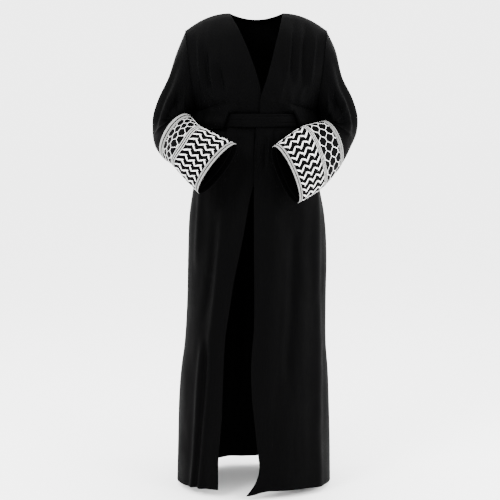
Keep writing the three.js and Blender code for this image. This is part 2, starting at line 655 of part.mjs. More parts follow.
function backPanel(name, rows) {
  const isBodice = rows === BODICE_ROWS;
  const topRow = rows.length - 1;
  const grid = rows.map((row, r) => {
    const rightEnd = Math.abs(rowEnd(row, -1, 1).x);
    const leftEnd = Math.abs(rowEnd(row, 1, 1).x);
    const shares = backShares(rightEnd, leftEnd);
    const line = shares.map((share) => panelPoint(row, share < 0 ? -1 : 1, 1, share, 0));
    if (isBodice && r === topRow) {
      layOnShoulder(line.slice(0, BACK_SHOULDER_COLUMNS + 1), -1);
      layOnShoulder(line.slice(-BACK_SHOULDER_COLUMNS - 1), 1);
    }
    const height = row.turn === undefined ? 0 : (Math.PI - row.turn) / Math.PI;
    const pull = THREE.MathUtils.clamp((height - 0.6) / 0.4, 0, 1) ** 2;
    line.forEach((place, c) => {
      const inNeck = Math.max(0, 1 - (place.x / NECK_HALF_WIDTH) ** 2);
      place.y += BACK_NECK_DEPTH * inNeck * pull;
      place.z -= BACK_NECK_DROP * inNeck * pull + hemFall(shares[c], row.z, Infinity);
    });
    return line;
  });
  const normals = gridNormals(grid, false, -1);
  const last = grid[0].length - 1;
  const rightEnds = grid.map((line) => line[0]);
  const leftEnds = grid.map((line) => line[last]);
  rows.forEach((row, r) => {
    normals[r][0] = endNormal(rows, r, -1, 1, rightEnds);
    normals[r][last] = endNormal(rows, r, 1, 1, leftEnds);
  });
  for (let c = 0; isBodice && c <= BACK_SHOULDER_COLUMNS; c += 1) {
    normals[topRow][c] = shoulderNormal(-1, shoulderShare(grid[topRow][c].x));
    normals[topRow][last - c] = shoulderNormal(1, shoulderShare(grid[topRow][last - c].x));
  }
  const seams = ['last row', 'first column', 'last column'];
  if (isBodice) {
    seams.push('first row');
  }
  return clothMesh(name, grid, normals, seams, false, blackCrepe());
}

// ---------------------------------------------------------------- sleeves
// A section between the rows of a sleeve's table, "along" counted in rows.
function sleeveSection(table, along) {
  const rows = table.map((row, i) => ({
    i,
    ox: row.outer[0],
    oy: row.outer[1],
    oz: row.outer[2],
    ix: row.inner[0],
    iy: row.inner[1],
    iz: row.inner[2],
    half: row.half,
    yaw: row.yaw,
  }));
  const read = (name) => column(rows, 'i', name, along);
  return {
    outer: point([read('ox'), read('oy'), read('oz')]),
    inner: point([read('ix'), read('iy'), read('iz')]),
    half: read('half'),
    yaw: degrees(read('yaw')),
  };
}

function sleeveFold(along, turn) {
  const share = along / ELBOW_SECTION;
  const angle = THREE.MathUtils.radToDeg(turn);
  let depth = 0;
  for (const fold of SLEEVE_FOLDS) {
    const middle = (fold.from + fold.to) / 2;
    const half = (fold.to - fold.from) / 2;
    const swell = rise(Math.abs(share - middle), half, half * 0.3);
    depth += fold.depth * swell * Math.exp(-(((angle - fold.turn) / fold.width) ** 2));
  }
  return depth * rise(share, 0, 0.12) * rise(share, 1, 0.9);
}

function sleevePoint(table, side, along, turn) {
  const section = sleeveSection(table, along);
  const centre = section.outer.clone().add(section.inner).multiplyScalar(0.5);
  const long = section.outer.clone().sub(section.inner).multiplyScalar(0.5);
  const longest = long.clone().normalize();
  const front = new THREE.Vector3(Math.sin(section.yaw), -Math.cos(section.yaw), 0);
  front.addScaledVector(longest, -front.dot(longest)).normalize();
  const radial = longest.clone().multiplyScalar(Math.cos(turn) / long.length());
  radial.addScaledVector(front, Math.sin(turn) / section.half).normalize();
  const place = centre.addScaledVector(long, Math.cos(turn));
  place.addScaledVector(front, section.half * Math.sin(turn));
  place.addScaledVector(radial, sleeveFold(along, turn));
  place.x *= side;
  return place;
}

function sleevePieces(sideName, side, table) {
  const last = table.length - 1;
  const stops = [];
  for (let i = 0; i <= SLEEVE_STEPS; i += 1) {
    stops.push((ELBOW_SECTION * i) / SLEEVE_STEPS);
  }
  const forearm = sleeveSection(table, last).outer.distanceTo(sleeveSection(table, ELBOW_SECTION).outer);
  const bandEnd = last - ((last - ELBOW_SECTION) * CUFF_BORDER_WIDTH) / forearm;
  for (let i = 1; i <= BAND_STEPS; i += 1) {
    stops.push(lerp(ELBOW_SECTION, bandEnd, i / BAND_STEPS));
  }
  stops.push(last);
  const segments = 2 * ARMHOLE_STEPS;
  const grid = stops.map((along) => {
    const line = [];
    for (let c = 0; c < segments; c += 1) {
      line.push(sleevePoint(table, side, along, (2 * Math.PI * c) / segments));
    }
    return line;
  });
  const normals = gridNormals(grid, true, side);
  normals[0] = normals[0].map((_, c) => {
    const normal = armholeNormal((2 * Math.PI * c) / segments);
    normal.x *= side;
    return normal;
  });
  const piece = (name, from, to, seams, material) => clothMesh(
    `${name}_${sideName}`,
    grid.slice(from, to + 1),
    normals.slice(from, to + 1),
    seams,
    true,
    material,
  );
  const bandStop = SLEEVE_STEPS + BAND_STEPS;
  const both = ['first row', 'last row'];
  return [
    piece('sleeve', 0, SLEEVE_STEPS, both, blackCrepe()),
    piece('sleeve_band', SLEEVE_STEPS, bandStop, both, embroideredCloth()),
    piece('cuff_border', bandStop, bandStop + 1, ['first row'], borderStitching()),
  ];
}

// ---------------------------------------------------------------- sash
// A soft sash drawn tight over the gathered waist, creased along its length.
const SASH_ROWS = [
  { share: 0, lift: 0 },
  { share: 0.15, lift: 1.2 },
  { share: 0.34, lift: 0.1 },
  { share: 0.5, lift: 1.4 },
  { share: 0.66, lift: 0.2 },
  { share: 0.85, lift: 1.3 },
  { share: 1, lift: 0 },
];

function sash() {
  const grid = SASH_ROWS.map((crease) => {
    const z = lerp(BELT_LOW_Z + 1, BELT_TOP_Z - 1, crease.share);
    const line = [];
    for (let c = 0; c < BELT_COLUMNS; c += 1) {
      const turn = (2 * Math.PI * c) / BELT_COLUMNS;
      const share = Math.sin(turn);
      const facing = Math.cos(turn) > 0 ? -1 : 1;
      const place = bodyPoint({ z }, share < 0 ? -1 : 1, facing, share, LAP_LIFT);
      const outward = new THREE.Vector3(Math.sin(turn), -Math.cos(turn), 0);
      const slack = 0.4 * Math.sin(3 * turn);
      line.push(place.addScaledVector(outward, BELT_CLEARANCE + SASH_WALL + crease.lift + slack));
    }
    return line;
  });
  const normals = gridNormals(grid, true, 1);
  return clothMesh('belt', grid, normals, [], true, blackCrepe(), SASH_WALL);
}

// ---------------------------------------------------------------- the garment
const abaya = new THREE.Group();
abaya.add(backPanel('bodice_back', BODICE_ROWS));
abaya.add(frontPanel('bodice_right', -1, BODICE_ROWS));
abaya.add(frontPanel('bodice_left', 1, BODICE_ROWS));
abaya.add(backPanel('skirt_back', SKIRT_ROWS));
abaya.add(frontPanel('skirt_right', -1, SKIRT_ROWS));
abaya.add(frontPanel('skirt_left', 1, SKIRT_ROWS));
abaya.add(...sleevePieces('right', -1, RIGHT_SLEEVE));
abaya.add(...sleevePieces('left', 1, LEFT_SLEEVE));
abaya.add(sash());

export default abaya;
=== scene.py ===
import math

import bmesh
import bpy
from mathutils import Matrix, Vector, noise


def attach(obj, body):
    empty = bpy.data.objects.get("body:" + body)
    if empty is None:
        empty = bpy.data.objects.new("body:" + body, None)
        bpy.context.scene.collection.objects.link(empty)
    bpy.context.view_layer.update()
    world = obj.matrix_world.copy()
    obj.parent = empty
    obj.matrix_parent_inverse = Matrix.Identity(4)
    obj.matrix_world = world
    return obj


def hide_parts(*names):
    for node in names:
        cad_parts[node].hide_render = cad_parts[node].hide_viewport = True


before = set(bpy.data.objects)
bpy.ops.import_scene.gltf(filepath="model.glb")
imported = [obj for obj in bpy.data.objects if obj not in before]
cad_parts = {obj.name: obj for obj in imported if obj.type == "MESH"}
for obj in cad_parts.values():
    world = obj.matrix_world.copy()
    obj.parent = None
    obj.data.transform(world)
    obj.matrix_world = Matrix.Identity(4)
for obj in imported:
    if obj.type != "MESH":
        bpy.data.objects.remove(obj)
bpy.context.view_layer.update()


# ------------------------------ bodice back
# Matt black crepe, sewn to both fronts at the shoulders and sides and to the skirt under the sash. It is
# cut fuller than the waist: the spare cloth puffs out above the sash and hangs over it at the sides.
MM = 0.001
SEAM_Y = 5
NECK_HALF_WIDTH, NECK_Z = 78, -10
BACK_NECK_DROP, BACK_NECK_DEPTH = 14, 57
SHOULDER_TIP_X, SHOULDER_TIP_Z = 206, -60
UNDERARM_X, UNDERARM_Z = 176, -296
ARMHOLE_HALF_DEPTH = 84
BELT_TOP_Z, BELT_LOW_Z, WAIST_SEAM_Z = -301, -341, -321
BLOUSE_REST_Z = -262
HEM_Z, HEM_SIDE_FALL, HEM_CORNER_FALL, HEM_CURVE_HEIGHT = -1400, 14, 15, 120
SEAM_GAP = 0.3
CREPE_WALL = 0.002
FRONT_TURNING, HEM_TURNING = 0.009, 0.014

# Level, half-widths on the wearer's right and left, and depths to the front and back.
BODY_LEVELS = [
    (-1420, 243, 229, 168, 178),
    (-1300, 239, 227, 164, 174),
    (-1170, 235, 223, 160, 168),
    (-1075, 228, 219, 157, 163),
    (-985, 216, 212, 153, 158),
    (-860, 208, 211, 150, 154),
    (-710, 204, 212, 145, 150),
    (-600, 199, 204, 136, 146),
    (-500, 184, 185, 122, 136),
    (-400, 172, 172, 111, 121),
    (-341, 167, 167, 105, 110),
    (-301, 167, 167, 105, 108),
    (-280, 172, 172, 113, 113),
    (-230, 168, 168, 122, 116),
    (-180, 172, 172, 122, 116),
    (-140, 176, 176, 114, 111),
    (-100, 180, 180, 97, 98),
    (-60, 190, 190, 71, 74),
    (-25, 200, 200, 29, 37),
    (-10, 206, 206, -5, 5),
]
# The cloth between sash and underarm, from the waist up. Each row is a share of that height when flat,
# how far out and up it puffs, how far out and to which level it hangs, and how much the gathers show.
BLOUSE_ROWS = [
    (0.00, 0, 0.00, 0, BELT_TOP_Z, 0),
    (0.08, 2, 0.03, 2.6, -300.4, 0),
    (0.17, 4.5, 0.06, 6.4, -303.5, 0),
    (0.25, 7, 0.10, 6.6, -322, 0),
    (0.33, 8.6, 0.18, 7.6, -338, 0),
    (0.42, 9, 0.30, 11.5, -345, 0.3),
    (0.52, 8.4, 0.44, 15, -339, 0.8),
    (0.65, 6.6, 0.60, 16.5, -325, 0.8),
    (0.82, 3.6, 0.82, 13, -307, 0.3),
]
BLOUSE_STEPS = 5
BLOUSE_FOLD_HEIGHT, WAIST_FLATNESS = 25, 1.6
# More fullness at the side seams, on the wearer's right and left, about one level.
SIDE_FULLNESS, SIDE_FULL_Z, SIDE_FULL_HEIGHT = {-1: 11, 1: 7}, -313, 24
FOLD_WANDER, FOLD_WANDER_LENGTH, FOLD_FADE = 2.5, 83, 90
# Long folds: top x and z, foot x and z, half-width, and depth (+ ridge, - trough).
BACK_FOLDS = [
    (-150, -620, -182, -1420, 20, 8),
    (-108, -560, -132, -1300, 20, -8),
    (-62, -470, -84, -1420, 22, 9),
    (-18, -520, -30, -1250, 20, -7),
    (26, -480, 30, -1420, 22, 8),
    (74, -560, 88, -1360, 20, -8),
    (118, -500, 142, -1420, 20, 8),
    (158, -640, 184, -1420, 18, -6),
    (-128, -70, -104, -262, 16, 6),
    (-40, -90, -52, -270, 18, -4),
    (52, -80, 60, -270, 18, 5),
    (134, -70, 112, -262, 16, 6),
]
# Gathers held by the sash: x, how far each runs up and down, and depth. Fine pleats lie between them.
GATHERS_UP, GATHERS_DOWN, GATHER_WIDTH = 125, 165, 11
PLEAT_DEPTH, PLEAT_WIDTH, PLEAT_REACH = 3.0, 2.9, 75
BACK_GATHERS = [
    (-126, 80, 120, 5), (-84, 110, 150, 5), (-44, 90, 110, 5), (-4, 120, 160, 5), (38, 80, 120, 5),
    (80, 110, 140, 5), (122, 90, 110, 5),
]
# Short creases on the cloth: first end x and z, second end x and z, half-width, depth.
BACK_CREASES = [
    (-150, -130, -96, -236, 7, 2.5),
    (150, -128, 98, -240, 7, 2.5),
    (-24, -60, -92, -110, 8, -2),
    (26, -62, 96, -112, 8, -2),
    (-60, -380, -96, -520, 7, -2.5),
    (64, -372, 110, -500, 7, 2.5),
    (10, -360, -4, -560, 7, -2.5),
]
# Slack all over the cloth: depth, width, length, and where its noise is read.
SLACK = [(2.6, 46, 190, 5.5), (1.1, 17, 70, 9.5)]


def rise(value, start, end):
    """0 at start, 1 at end, smooth between; start may be the larger."""
    share = min(max((value - start) / (end - start), 0.0), 1.0)
    return share * share * (3 - 2 * share)


def mix(start, end, share):
    return start + (end - start) * share


def read(table, place, column):
    """Smooth curve through one column of a table that is sorted by its first column."""
    last = len(table) - 1
    place = min(max(place, table[0][0]), table[last][0])
    i = 0
    while i < last - 1 and place > table[i + 1][0]:
        i += 1
    here, after = table[i], table[i + 1]
    before, beyond = table[max(i - 1, 0)], table[min(i + 2, last)]
    span = after[0] - here[0]
    f = (place - here[0]) / span
    slope_here = (after[column] - before[column]) / (after[0] - before[0]) * span
    slope_after = (beyond[column] - here[column]) / (beyond[0] - here[0]) * span
    square, cube = f * f, f * f * f
    return (
        (2 * cube - 3 * square + 1) * here[column]
        + (cube - 2 * square + f) * slope_here
        + (3 * square - 2 * cube) * after[column]
        + (cube - square) * slope_after
    )


def armhole_point(turn):
    """The armhole seam: turn 0 is the shoulder tip, pi the underarm, and the front lies between."""
    share = (1 + math.cos(turn)) / 2
    return Vector((
        mix(UNDERARM_X, SHOULDER_TIP_X, share),
        SEAM_Y - ARMHOLE_HALF_DEPTH * math.sin(turn),
        mix(UNDERARM_Z, SHOULDER_TIP_Z, share),
    ))


# Rows of the bodice: the level of each, and above the underarm its turn round the armhole.
SASHED_ROWS = [(mix(WAIST_SEAM_Z, BELT_TOP_Z, i / 4), None) for i in range(4)]
ARMHOLE_ROWS = [(mix(BLOUSE_REST_Z, NECK_Z, i / 56), math.pi * (1 - i / 56)) for i in range(57)]


def row_end(row, side, facing):
    """Where a row ends, on the side seam or the armhole."""
    z, turn = row
    if turn is None:
        end = Vector((read(BODY_LEVELS, z, 2 if side > 0 else 1), SEAM_Y, z))
    else:
        end = armhole_point(turn if facing < 0 else -turn)
    end.x *= side
    return end


def turn_at(x, half_width):
    """The turn round the body's oval at which x lies."""
    return math.asin(min(max(x / half_width, -1), 1))


def long_folds(folds, x, z, half_width, half_depth):
    """Depth of the long folds that run down the cloth; they wander a little on the way."""
    reach = (half_width + half_depth) / 2
    here = turn_at(x, half_width)
    depth = 0.0
    for top_x, top_z, foot_x, foot_z, width, height in folds:
        if z > top_z or (z < foot_z and foot_z > HEM_Z):
            continue
        share = min(max((top_z - z) / (top_z - foot_z), 0), 1)
        line = mix(top_x, foot_x, share) + FOLD_WANDER * math.sin(z / FOLD_WANDER_LENGTH + top_x)
        away = (here - turn_at(line, half_width)) * reach
        if abs(away) > 3 * width:
            continue
        fade = min(FOLD_FADE, (top_z - foot_z) / 3)
        foot = 1 if foot_z < HEM_Z else rise(z, foot_z, foot_z + fade)
        depth += height * rise(z, top_z, top_z - fade) * foot * math.exp(-((away / width) ** 2))
    return depth


def waist_gathers(gathers, x, z, half_width, half_depth):
    """Folds that the sash holds, and the fine pleating between them."""
    if not BELT_LOW_Z - GATHERS_DOWN <= z <= BELT_TOP_Z + GATHERS_UP or BELT_LOW_Z <= z <= BELT_TOP_Z:
        return 0.0
    reach = (half_width + half_depth) / 2
    here = turn_at(x, half_width)
    above = z > BELT_TOP_Z
    away = z - BELT_TOP_Z if above else BELT_LOW_Z - z
    depth = 0.0
    for gather_x, up, down, height in gathers:
        run = up if above else down
        if away >= run:
            continue
        swell = rise(away, 0, run * 0.25) * rise(away, run, run * 0.35)
        across = (here - turn_at(gather_x, half_width)) * reach / (GATHER_WIDTH * (1 + away / run / 2))
        depth += height * swell * math.exp(-across * across)
    arc = here * reach * (1 - away / 900)
    fine = math.sin(arc / PLEAT_WIDTH + 2.1 * math.sin(arc / 23)) * noise.noise(Vector((arc / 31, 0, 4.2)))
    return depth + PLEAT_DEPTH * fine * rise(away, 0, 8) * rise(away, PLEAT_REACH, 14)


def short_creases(creases, x, z):
    """Straight creases, deepest at their middles."""
    depth = 0.0
    for first_x, first_z, last_x, last_z, width, height in creases:
        run_x, run_z = last_x - first_x, last_z - first_z
        length = math.hypot(run_x, run_z)
        away = abs((x - first_x) * run_z - (z - first_z) * run_x) / length
        if away > 3 * width:
            continue
        along = ((x - first_x) * run_x + (z - first_z) * run_z) / length
        share = min(max(along / length, 0), 1)
        depth += height * math.sin(math.pi * share) ** 0.7 * math.exp(-((away / width) ** 2))
    return depth


def shoulder_share(x):
    """0 at the neck point, 1 at the shoulder tip."""
    share = (abs(x) - NECK_HALF_WIDTH) / (SHOULDER_TIP_X - NECK_HALF_WIDTH)
    return min(max(share, 0), 1)


def body_point(row, side, facing, share, cloth):
    """A point of the body's outer face, and the way it faces; facing is -1 in front and 1 behind."""
    folds, gathers, creases = cloth
    z_middle, turn = row
    end = row_end(row, side, facing)
    half_width = abs(end.x)
    half_depth = read(BODY_LEVELS, z_middle, 3 if facing < 0 else 4)
    height = 0 if turn is None else (math.pi - turn) / math.pi
    squareness = mix(2, 1.1, rise(height, 0, 0.35))
    around = max(0.0, 1 - abs(share) ** 2.2) ** (1 / squareness)
    x = half_width * share
    z = mix(z_middle, end.z, mix(abs(share) ** 1.5, shoulder_share(x) ** 2, rise(height, 0.75, 1)))
    y = mix(end.y, facing * half_depth, around)
    outward = Vector((
        math.copysign(abs(share) ** 1.2, share) / half_width,
        facing * around / max(half_depth, 40),
        0,
    )).normalized()
    calm = rise(height, 1, 0.9) * rise(abs(share), 1, 0.95)
    off_sash = rise(abs(z - (BELT_TOP_Z + BELT_LOW_Z) / 2), 23, 60)
    slack = sum(depth * noise.noise(Vector((x / wide, z / long, place * facing)))
                for depth, wide, long, place in SLACK)
    ripple = long_folds(folds, x, z, half_width, half_depth)
    ripple += waist_gathers(gathers, x, z, half_width, half_depth)
    ripple += (short_creases(creases, x, z) + slack) * off_sash
    return Vector((x, y, z)) + outward * ripple * calm, outward


def blouse_columns(side, facing, share, cloth, reach, lift=0):
    """The cloth from the sash's top to the underarm: flat, puffed out, or hanging over the sash."""
    waist, _ = body_point((BELT_TOP_Z, None), side, facing, share, cloth)
    above, outward = body_point((BLOUSE_REST_Z, math.pi), side, facing, share, cloth)
    waist += outward * lift
    above += outward * lift
    outward = Vector((share, facing * WAIST_FLATNESS * math.sqrt(1 - share * share), 0)).normalized()
    puffed, hanging = rise(abs(share), *reach[:2]), rise(abs(share), *reach[2:])
    gather = waist_gathers(cloth[1], waist.x, BELT_TOP_Z + BLOUSE_FOLD_HEIGHT, UNDERARM_X, abs(waist.y))
    gather *= rise(abs(share), 1, 0.9)
    line = []
    for flat, puff_out, puff_up, hang_out, hang_z, fold in BLOUSE_ROWS:
        hang = waist + outward * (hang_out + fold * gather)
        hang.z = hang_z
        puff = waist.lerp(above, puff_up) + outward * puff_out
        line.append(waist.lerp(above, flat).lerp(puff, puffed).lerp(hang, hanging))
    line.append(above)
    full = SIDE_FULLNESS[side] * rise(abs(share), 0.85, 1)
    column = []
    for i, (here, after) in enumerate(zip(line, line[1:])):
        before, beyond = line[max(i - 1, 0)], line[min(i + 2, len(line) - 1)]
        for step in range(BLOUSE_STEPS):
            f = step / BLOUSE_STEPS
            square, cube = f * f, f * f * f
            place = here * (1.5 * cube - 2.5 * square + 1) + after * (2 * square - 1.5 * cube + 0.5 * f)
            place += before * (square - 0.5 * (cube + f)) + beyond * (0.5 * (cube - square))
            swell = full * math.exp(-(((place.z - SIDE_FULL_Z) / SIDE_FULL_HEIGHT) ** 2))
            column.append(place + outward * (swell * rise(i, 1, 4)))
    return column


def hem_fall(share, z, from_edge):
    """How far the hem falls at the side seams and at the corner of the left front."""
    fall = HEM_SIDE_FALL * abs(share) ** 3 + HEM_CORNER_FALL * rise(from_edge, 70, 0)
    return fall * rise(z, HEM_Z + HEM_CURVE_HEIGHT, HEM_Z)


def lay_on_shoulder(place, side):
    """Moves a point of the top row onto the shoulder seam."""
    share = shoulder_share(place.x)
    place.x = side * mix(NECK_HALF_WIDTH, SHOULDER_TIP_X, share)
    place.y = SEAM_Y
    place.z = mix(NECK_Z, SHOULDER_TIP_Z, share * share)


def draw_back(points, seams, gap=SEAM_GAP):
    """Draws the seamed edges of a sheet back, so that neighbouring pieces stand apart."""
    lines = {
        "foot": (points[0], points[1]),
        "top": (points[-1], points[-2]),
        "first": ([row[0] for row in points], [row[1] for row in points]),
        "last": ([row[-1] for row in points], [row[-2] for row in points]),
    }
    for seam in seams:
        for edge, inside in zip(*lines[seam]):
            edge += (inside - edge).normalized() * (gap / 2)


def run_along(line):
    """Length of a line of points up to each of them."""
    run = [0.0]
    for here, after in zip(line, line[1:]):
        run.append(run[-1] + math.dist(here, after))
    return run


def grid(mesh, across, up):
    """Adds a grid of so many faces across and up; gives its vertices with their places, and its faces."""
    made = bmesh.ops.create_grid(mesh, x_segments=across, y_segments=up, size=0.5)["verts"]
    home = {v: (round((v.co.x + 0.5) * across), round((v.co.y + 0.5) * up)) for v in made}
    faces = {f for v in made for f in v.link_faces}
    for face in faces:
        face.smooth = True
    return home, faces


def finished(name, mesh, material, wall=None):
    """Turns a bmesh into a piece with its material, and gives thin cloth its wall, inwards."""
    data = bpy.data.meshes.new(name)
    mesh.to_mesh(data)
    mesh.free()
    data.materials.append(material)
    piece = bpy.data.objects.new(name, data)
    bpy.context.scene.collection.objects.link(piece)
    if wall:
        thick = piece.modifiers.new("wall", "SOLIDIFY")
        thick.thickness = wall
        thick.offset = -1
    return piece


def sheet_of_cloth(name, points, material, turned_over=False, tube=False, wall=CREPE_WALL):
    """A piece of cloth through rows of points, with a UV map that gives each corner's place in metres."""
    mesh = bmesh.new()
    home, faces = grid(mesh, len(points[0]) - 1, len(points) - 1)
    cloth = mesh.loops.layers.uv.new("cloth")
    across = [run_along(row) for row in points]
    up = [run_along(column) for column in zip(*points)]
    for face in faces:
        for loop in face.loops:
            c, r = home[loop.vert]
            loop[cloth].uv = (across[r][c] * MM, up[c][r] * MM)
    for v, (c, r) in home.items():
        v.co = points[r][c] * MM
    if turned_over:
        bmesh.ops.reverse_faces(mesh, faces=list(faces))
    if tube:
        bmesh.ops.remove_doubles(mesh, verts=list(home), dist=1e-6)
    return finished(name, mesh, material, wall)


def node(tree, kind, settings=None, **inputs):
    """Adds a shader node and fills its inputs, each with a value or another node's output."""
    made = tree.nodes.new(kind)
    for key, value in (settings or {}).items():
        setattr(made, key, value)
    for key, value in inputs.items():
        socket = made.inputs[int(key[1:])] if key[0] == "_" else made.inputs[key.replace("_", " ")]
        if isinstance(value, bpy.types.NodeSocket):
            tree.links.new(value, socket)
        else:
            socket.default_value = value
    return made


def maths(tree, operation, *values):
    """Adds a maths node on up to three values, and gives its result."""
    inputs = {f"_{i}": value for i, value in enumerate(values)}
    return node(tree, "ShaderNodeMath", {"operation": operation}, **inputs).outputs[0]


def ramp(tree, value, start, end, low, high, kind="SMOOTHSTEP"):
    """Maps a value's range onto another one, clamped."""
    return node(tree, "ShaderNodeMapRange", {"interpolation_type": kind}, _0=value, _1=start, _2=end,
                _3=low, _4=high).outputs[0]


def node_group(name, inputs, outputs):
    """A new node group with its sockets. Inputs gives each one's value, or None where it is a vector."""
    tree = bpy.data.node_groups.new(name, "ShaderNodeTree")
    for socket, value in inputs.items():
        kind = "NodeSocketVector" if value is None else "NodeSocketFloat"
        made = tree.interface.new_socket(socket, in_out="INPUT", socket_type=kind)
        if value is not None:
            made.default_value = value
    for socket in outputs:
        tree.interface.new_socket(socket, in_out="OUTPUT", socket_type="NodeSocketFloat")
    return tree, tree.nodes.new("NodeGroupInput").outputs, tree.nodes.new("NodeGroupOutput").inputs


def crepe_group():
    """Crepe cloth: fine crossed threads with a pebbled twist, and slow clouding of the dye."""
    tree, given, result = node_group("crepe_weave", {"Cloth": None, "Pitch": 0.0006}, ["Height", "Cloud"])
    grain = node(tree, "ShaderNodeTexNoise", Vector=given["Cloth"], Scale=950, Detail=2.0).outputs[0]
    wander = node(tree, "ShaderNodeTexNoise", Vector=given["Cloth"], Scale=260, Detail=1.0).outputs[0]
    cloud = node(tree, "ShaderNodeTexNoise", Vector=given["Cloth"], Scale=7, Detail=3.0).outputs[0]
    place = node(tree, "ShaderNodeSeparateXYZ", Vector=given["Cloth"]).outputs
    threads = []
    for axis in ("X", "Y"):
        turns = maths(tree, "DIVIDE", place[axis], given["Pitch"])
        shifted = maths(tree, "MULTIPLY_ADD", wander, 1.4, turns)
        threads.append(maths(tree, "SINE", maths(tree, "MULTIPLY", shifted, 2 * math.pi)))
    crossed = maths(tree, "MAXIMUM", *threads)
    tree.links.new(maths(tree, "MULTIPLY_ADD", crossed, 0.35, grain), result["Height"])
    tree.links.new(cloud, result["Cloud"])
    return tree


def turned_edge_group():
    """A narrow edge turned in once and stitched: a low step, and a line of stitches just inside it."""
    tree, given, result = node_group(
        "turned_edge", {"From edge": 0.0, "Along edge": 0.0, "Width": 0.01, "Stitch": 0.0028}, ["Height"])
    inside = maths(tree, "SUBTRACT", given["Width"], given["From edge"])
    step = ramp(tree, inside, -0.0006, 0.0006, 0.0, 1.0)
    off_line = maths(tree, "ABSOLUTE", maths(tree, "SUBTRACT", inside, 0.002))
    on_line = ramp(tree, off_line, 0.0002, 0.0007, 1.0, 0.0)
    turns = maths(tree, "DIVIDE", given["Along edge"], given["Stitch"])
    dash = maths(tree, "SINE", maths(tree, "MULTIPLY", turns, 2 * math.pi))
    stitches = maths(tree, "MULTIPLY", dash, on_line)
    tree.links.new(maths(tree, "MULTIPLY_ADD", stitches, 0.45, step), result["Height"])
    return tree


CREPE_WEAVE = crepe_group()
TURNED_EDGE = turned_edge_group()


def new_material(name, settings):
    """A material with its node tree and shader; settings are the shader's plain values."""
    material = bpy.data.materials.new(name)
    material.use_nodes = True
    shader = material.node_tree.nodes["Principled BSDF"].inputs
    for key, value in settings.items():
        shader[key].default_value = value
    return material, material.node_tree, shader


def two_tone(tree, share, dark, light):
    """Mixes two colours by a value between 0 and 1."""
    blend = node(tree, "ShaderNodeMix", {"data_type": "RGBA"})
    blend.inputs["A"].default_value = (*dark, 1)
    blend.inputs["B"].default_value = (*light, 1)
    tree.links.new(share, blend.inputs["Factor"])
    return blend.outputs["Result"]


def black_crepe(name, edges=()):
    """Matt black crepe. Edges names the UV axes along which a turned edge starts at 0."""
    material, tree, shader = new_material(name, {
        "Specular IOR Level": 0.015,
        "Sheen Weight": 0.0015,
        "Sheen Roughness": 0.4,
        "Sheen Tint": (0.8, 0.8, 0.82, 1),
    })
    cloth = node(tree, "ShaderNodeUVMap", {"uv_map": "cloth"}).outputs[0]
    weave = node(tree, "ShaderNodeGroup", {"node_tree": CREPE_WEAVE}, Cloth=cloth).outputs
    colour = two_tone(tree, weave["Cloud"], (0.0003, 0.0003, 0.00035), (0.0006, 0.0006, 0.00066))
    tree.links.new(colour, shader["Base Color"])
    tree.links.new(ramp(tree, weave["Cloud"], 0.3, 0.7, 0.6, 0.75, "LINEAR"), shader["Roughness"])
    bump = node(tree, "ShaderNodeBump", Strength=0.35, Distance=0.00025, Height=weave["Height"])
    place = node(tree, "ShaderNodeSeparateXYZ", Vector=cloth).outputs
    for axis, along, width in (("X", "Y", FRONT_TURNING), ("Y", "X", HEM_TURNING)):
        if axis in edges:
            edge = node(tree, "ShaderNodeGroup", {"node_tree": TURNED_EDGE},
                        From_edge=place[axis], Along_edge=place[along], Width=width)
            bump = node(tree, "ShaderNodeBump", Strength=0.8, Distance=0.0006,
                        Height=edge.outputs["Height"], Normal=bump.outputs["Normal"])
    tree.links.new(bump.outputs["Normal"], shader["Normal"])
    return material


BACK_CLOTH = (BACK_FOLDS, BACK_GATHERS, BACK_CREASES)
# Shares of the half-width between which the cloth puffs out, then hangs over the sash.
BACK_REACH = (0.35, 0.6, 0.6, 0.8)
NECK_COLUMNS, SHOULDER_COLUMNS = 46, 34


def back_shares(row):
    """Places across the back, with a column on each neck point."""
    right_neck = math.asin(NECK_HALF_WIDTH / abs(row_end(row, -1, 1).x))
    left_neck = math.asin(NECK_HALF_WIDTH / abs(row_end(row, 1, 1).x))
    turns = [mix(-math.pi / 2, -right_neck, c / SHOULDER_COLUMNS) for c in range(SHOULDER_COLUMNS)]
    turns += [mix(-right_neck, left_neck, c / NECK_COLUMNS) for c in range(NECK_COLUMNS)]
    turns += [mix(left_neck, math.pi / 2, c / SHOULDER_COLUMNS) for c in range(SHOULDER_COLUMNS + 1)]
    return [math.sin(turn) for turn in turns]


def back_row(row):
    """One row of the back, which dips and leans in at the neck."""
    height = 0 if row[1] is None else (math.pi - row[1]) / math.pi
    pull = min(max((height - 0.6) / 0.4, 0), 1) ** 2
    line = []
    for c, share in enumerate(back_shares(row)):
        side = -1 if share < 0 else 1
        place, _ = body_point(row, side, 1, share, BACK_CLOTH)
        if row is ARMHOLE_ROWS[-1] and not SHOULDER_COLUMNS < c < SHOULDER_COLUMNS + NECK_COLUMNS:
            lay_on_shoulder(place, side)
        in_neck = max(0, 1 - (place.x / NECK_HALF_WIDTH) ** 2)
        place.y += BACK_NECK_DEPTH * in_neck * pull
        place.z -= BACK_NECK_DROP * in_neck * pull + hem_fall(share, row[0], math.inf)
        line.append(place)
    return line


columns = [blouse_columns(-1 if share < 0 else 1, 1, share, BACK_CLOTH, BACK_REACH)
           for share in back_shares(ARMHOLE_ROWS[0])]
points = [back_row(row) for row in SASHED_ROWS]
points += [list(line) for line in zip(*columns)]
points += [back_row(row) for row in ARMHOLE_ROWS]
draw_back(points, ["foot", "top", "first", "last"])
bodice_back = sheet_of_cloth("bodice_back_cloth", points, black_crepe("black_crepe_bodice_back"),
                             turned_over=True)
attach(bodice_back, "root")
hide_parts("bodice_back")


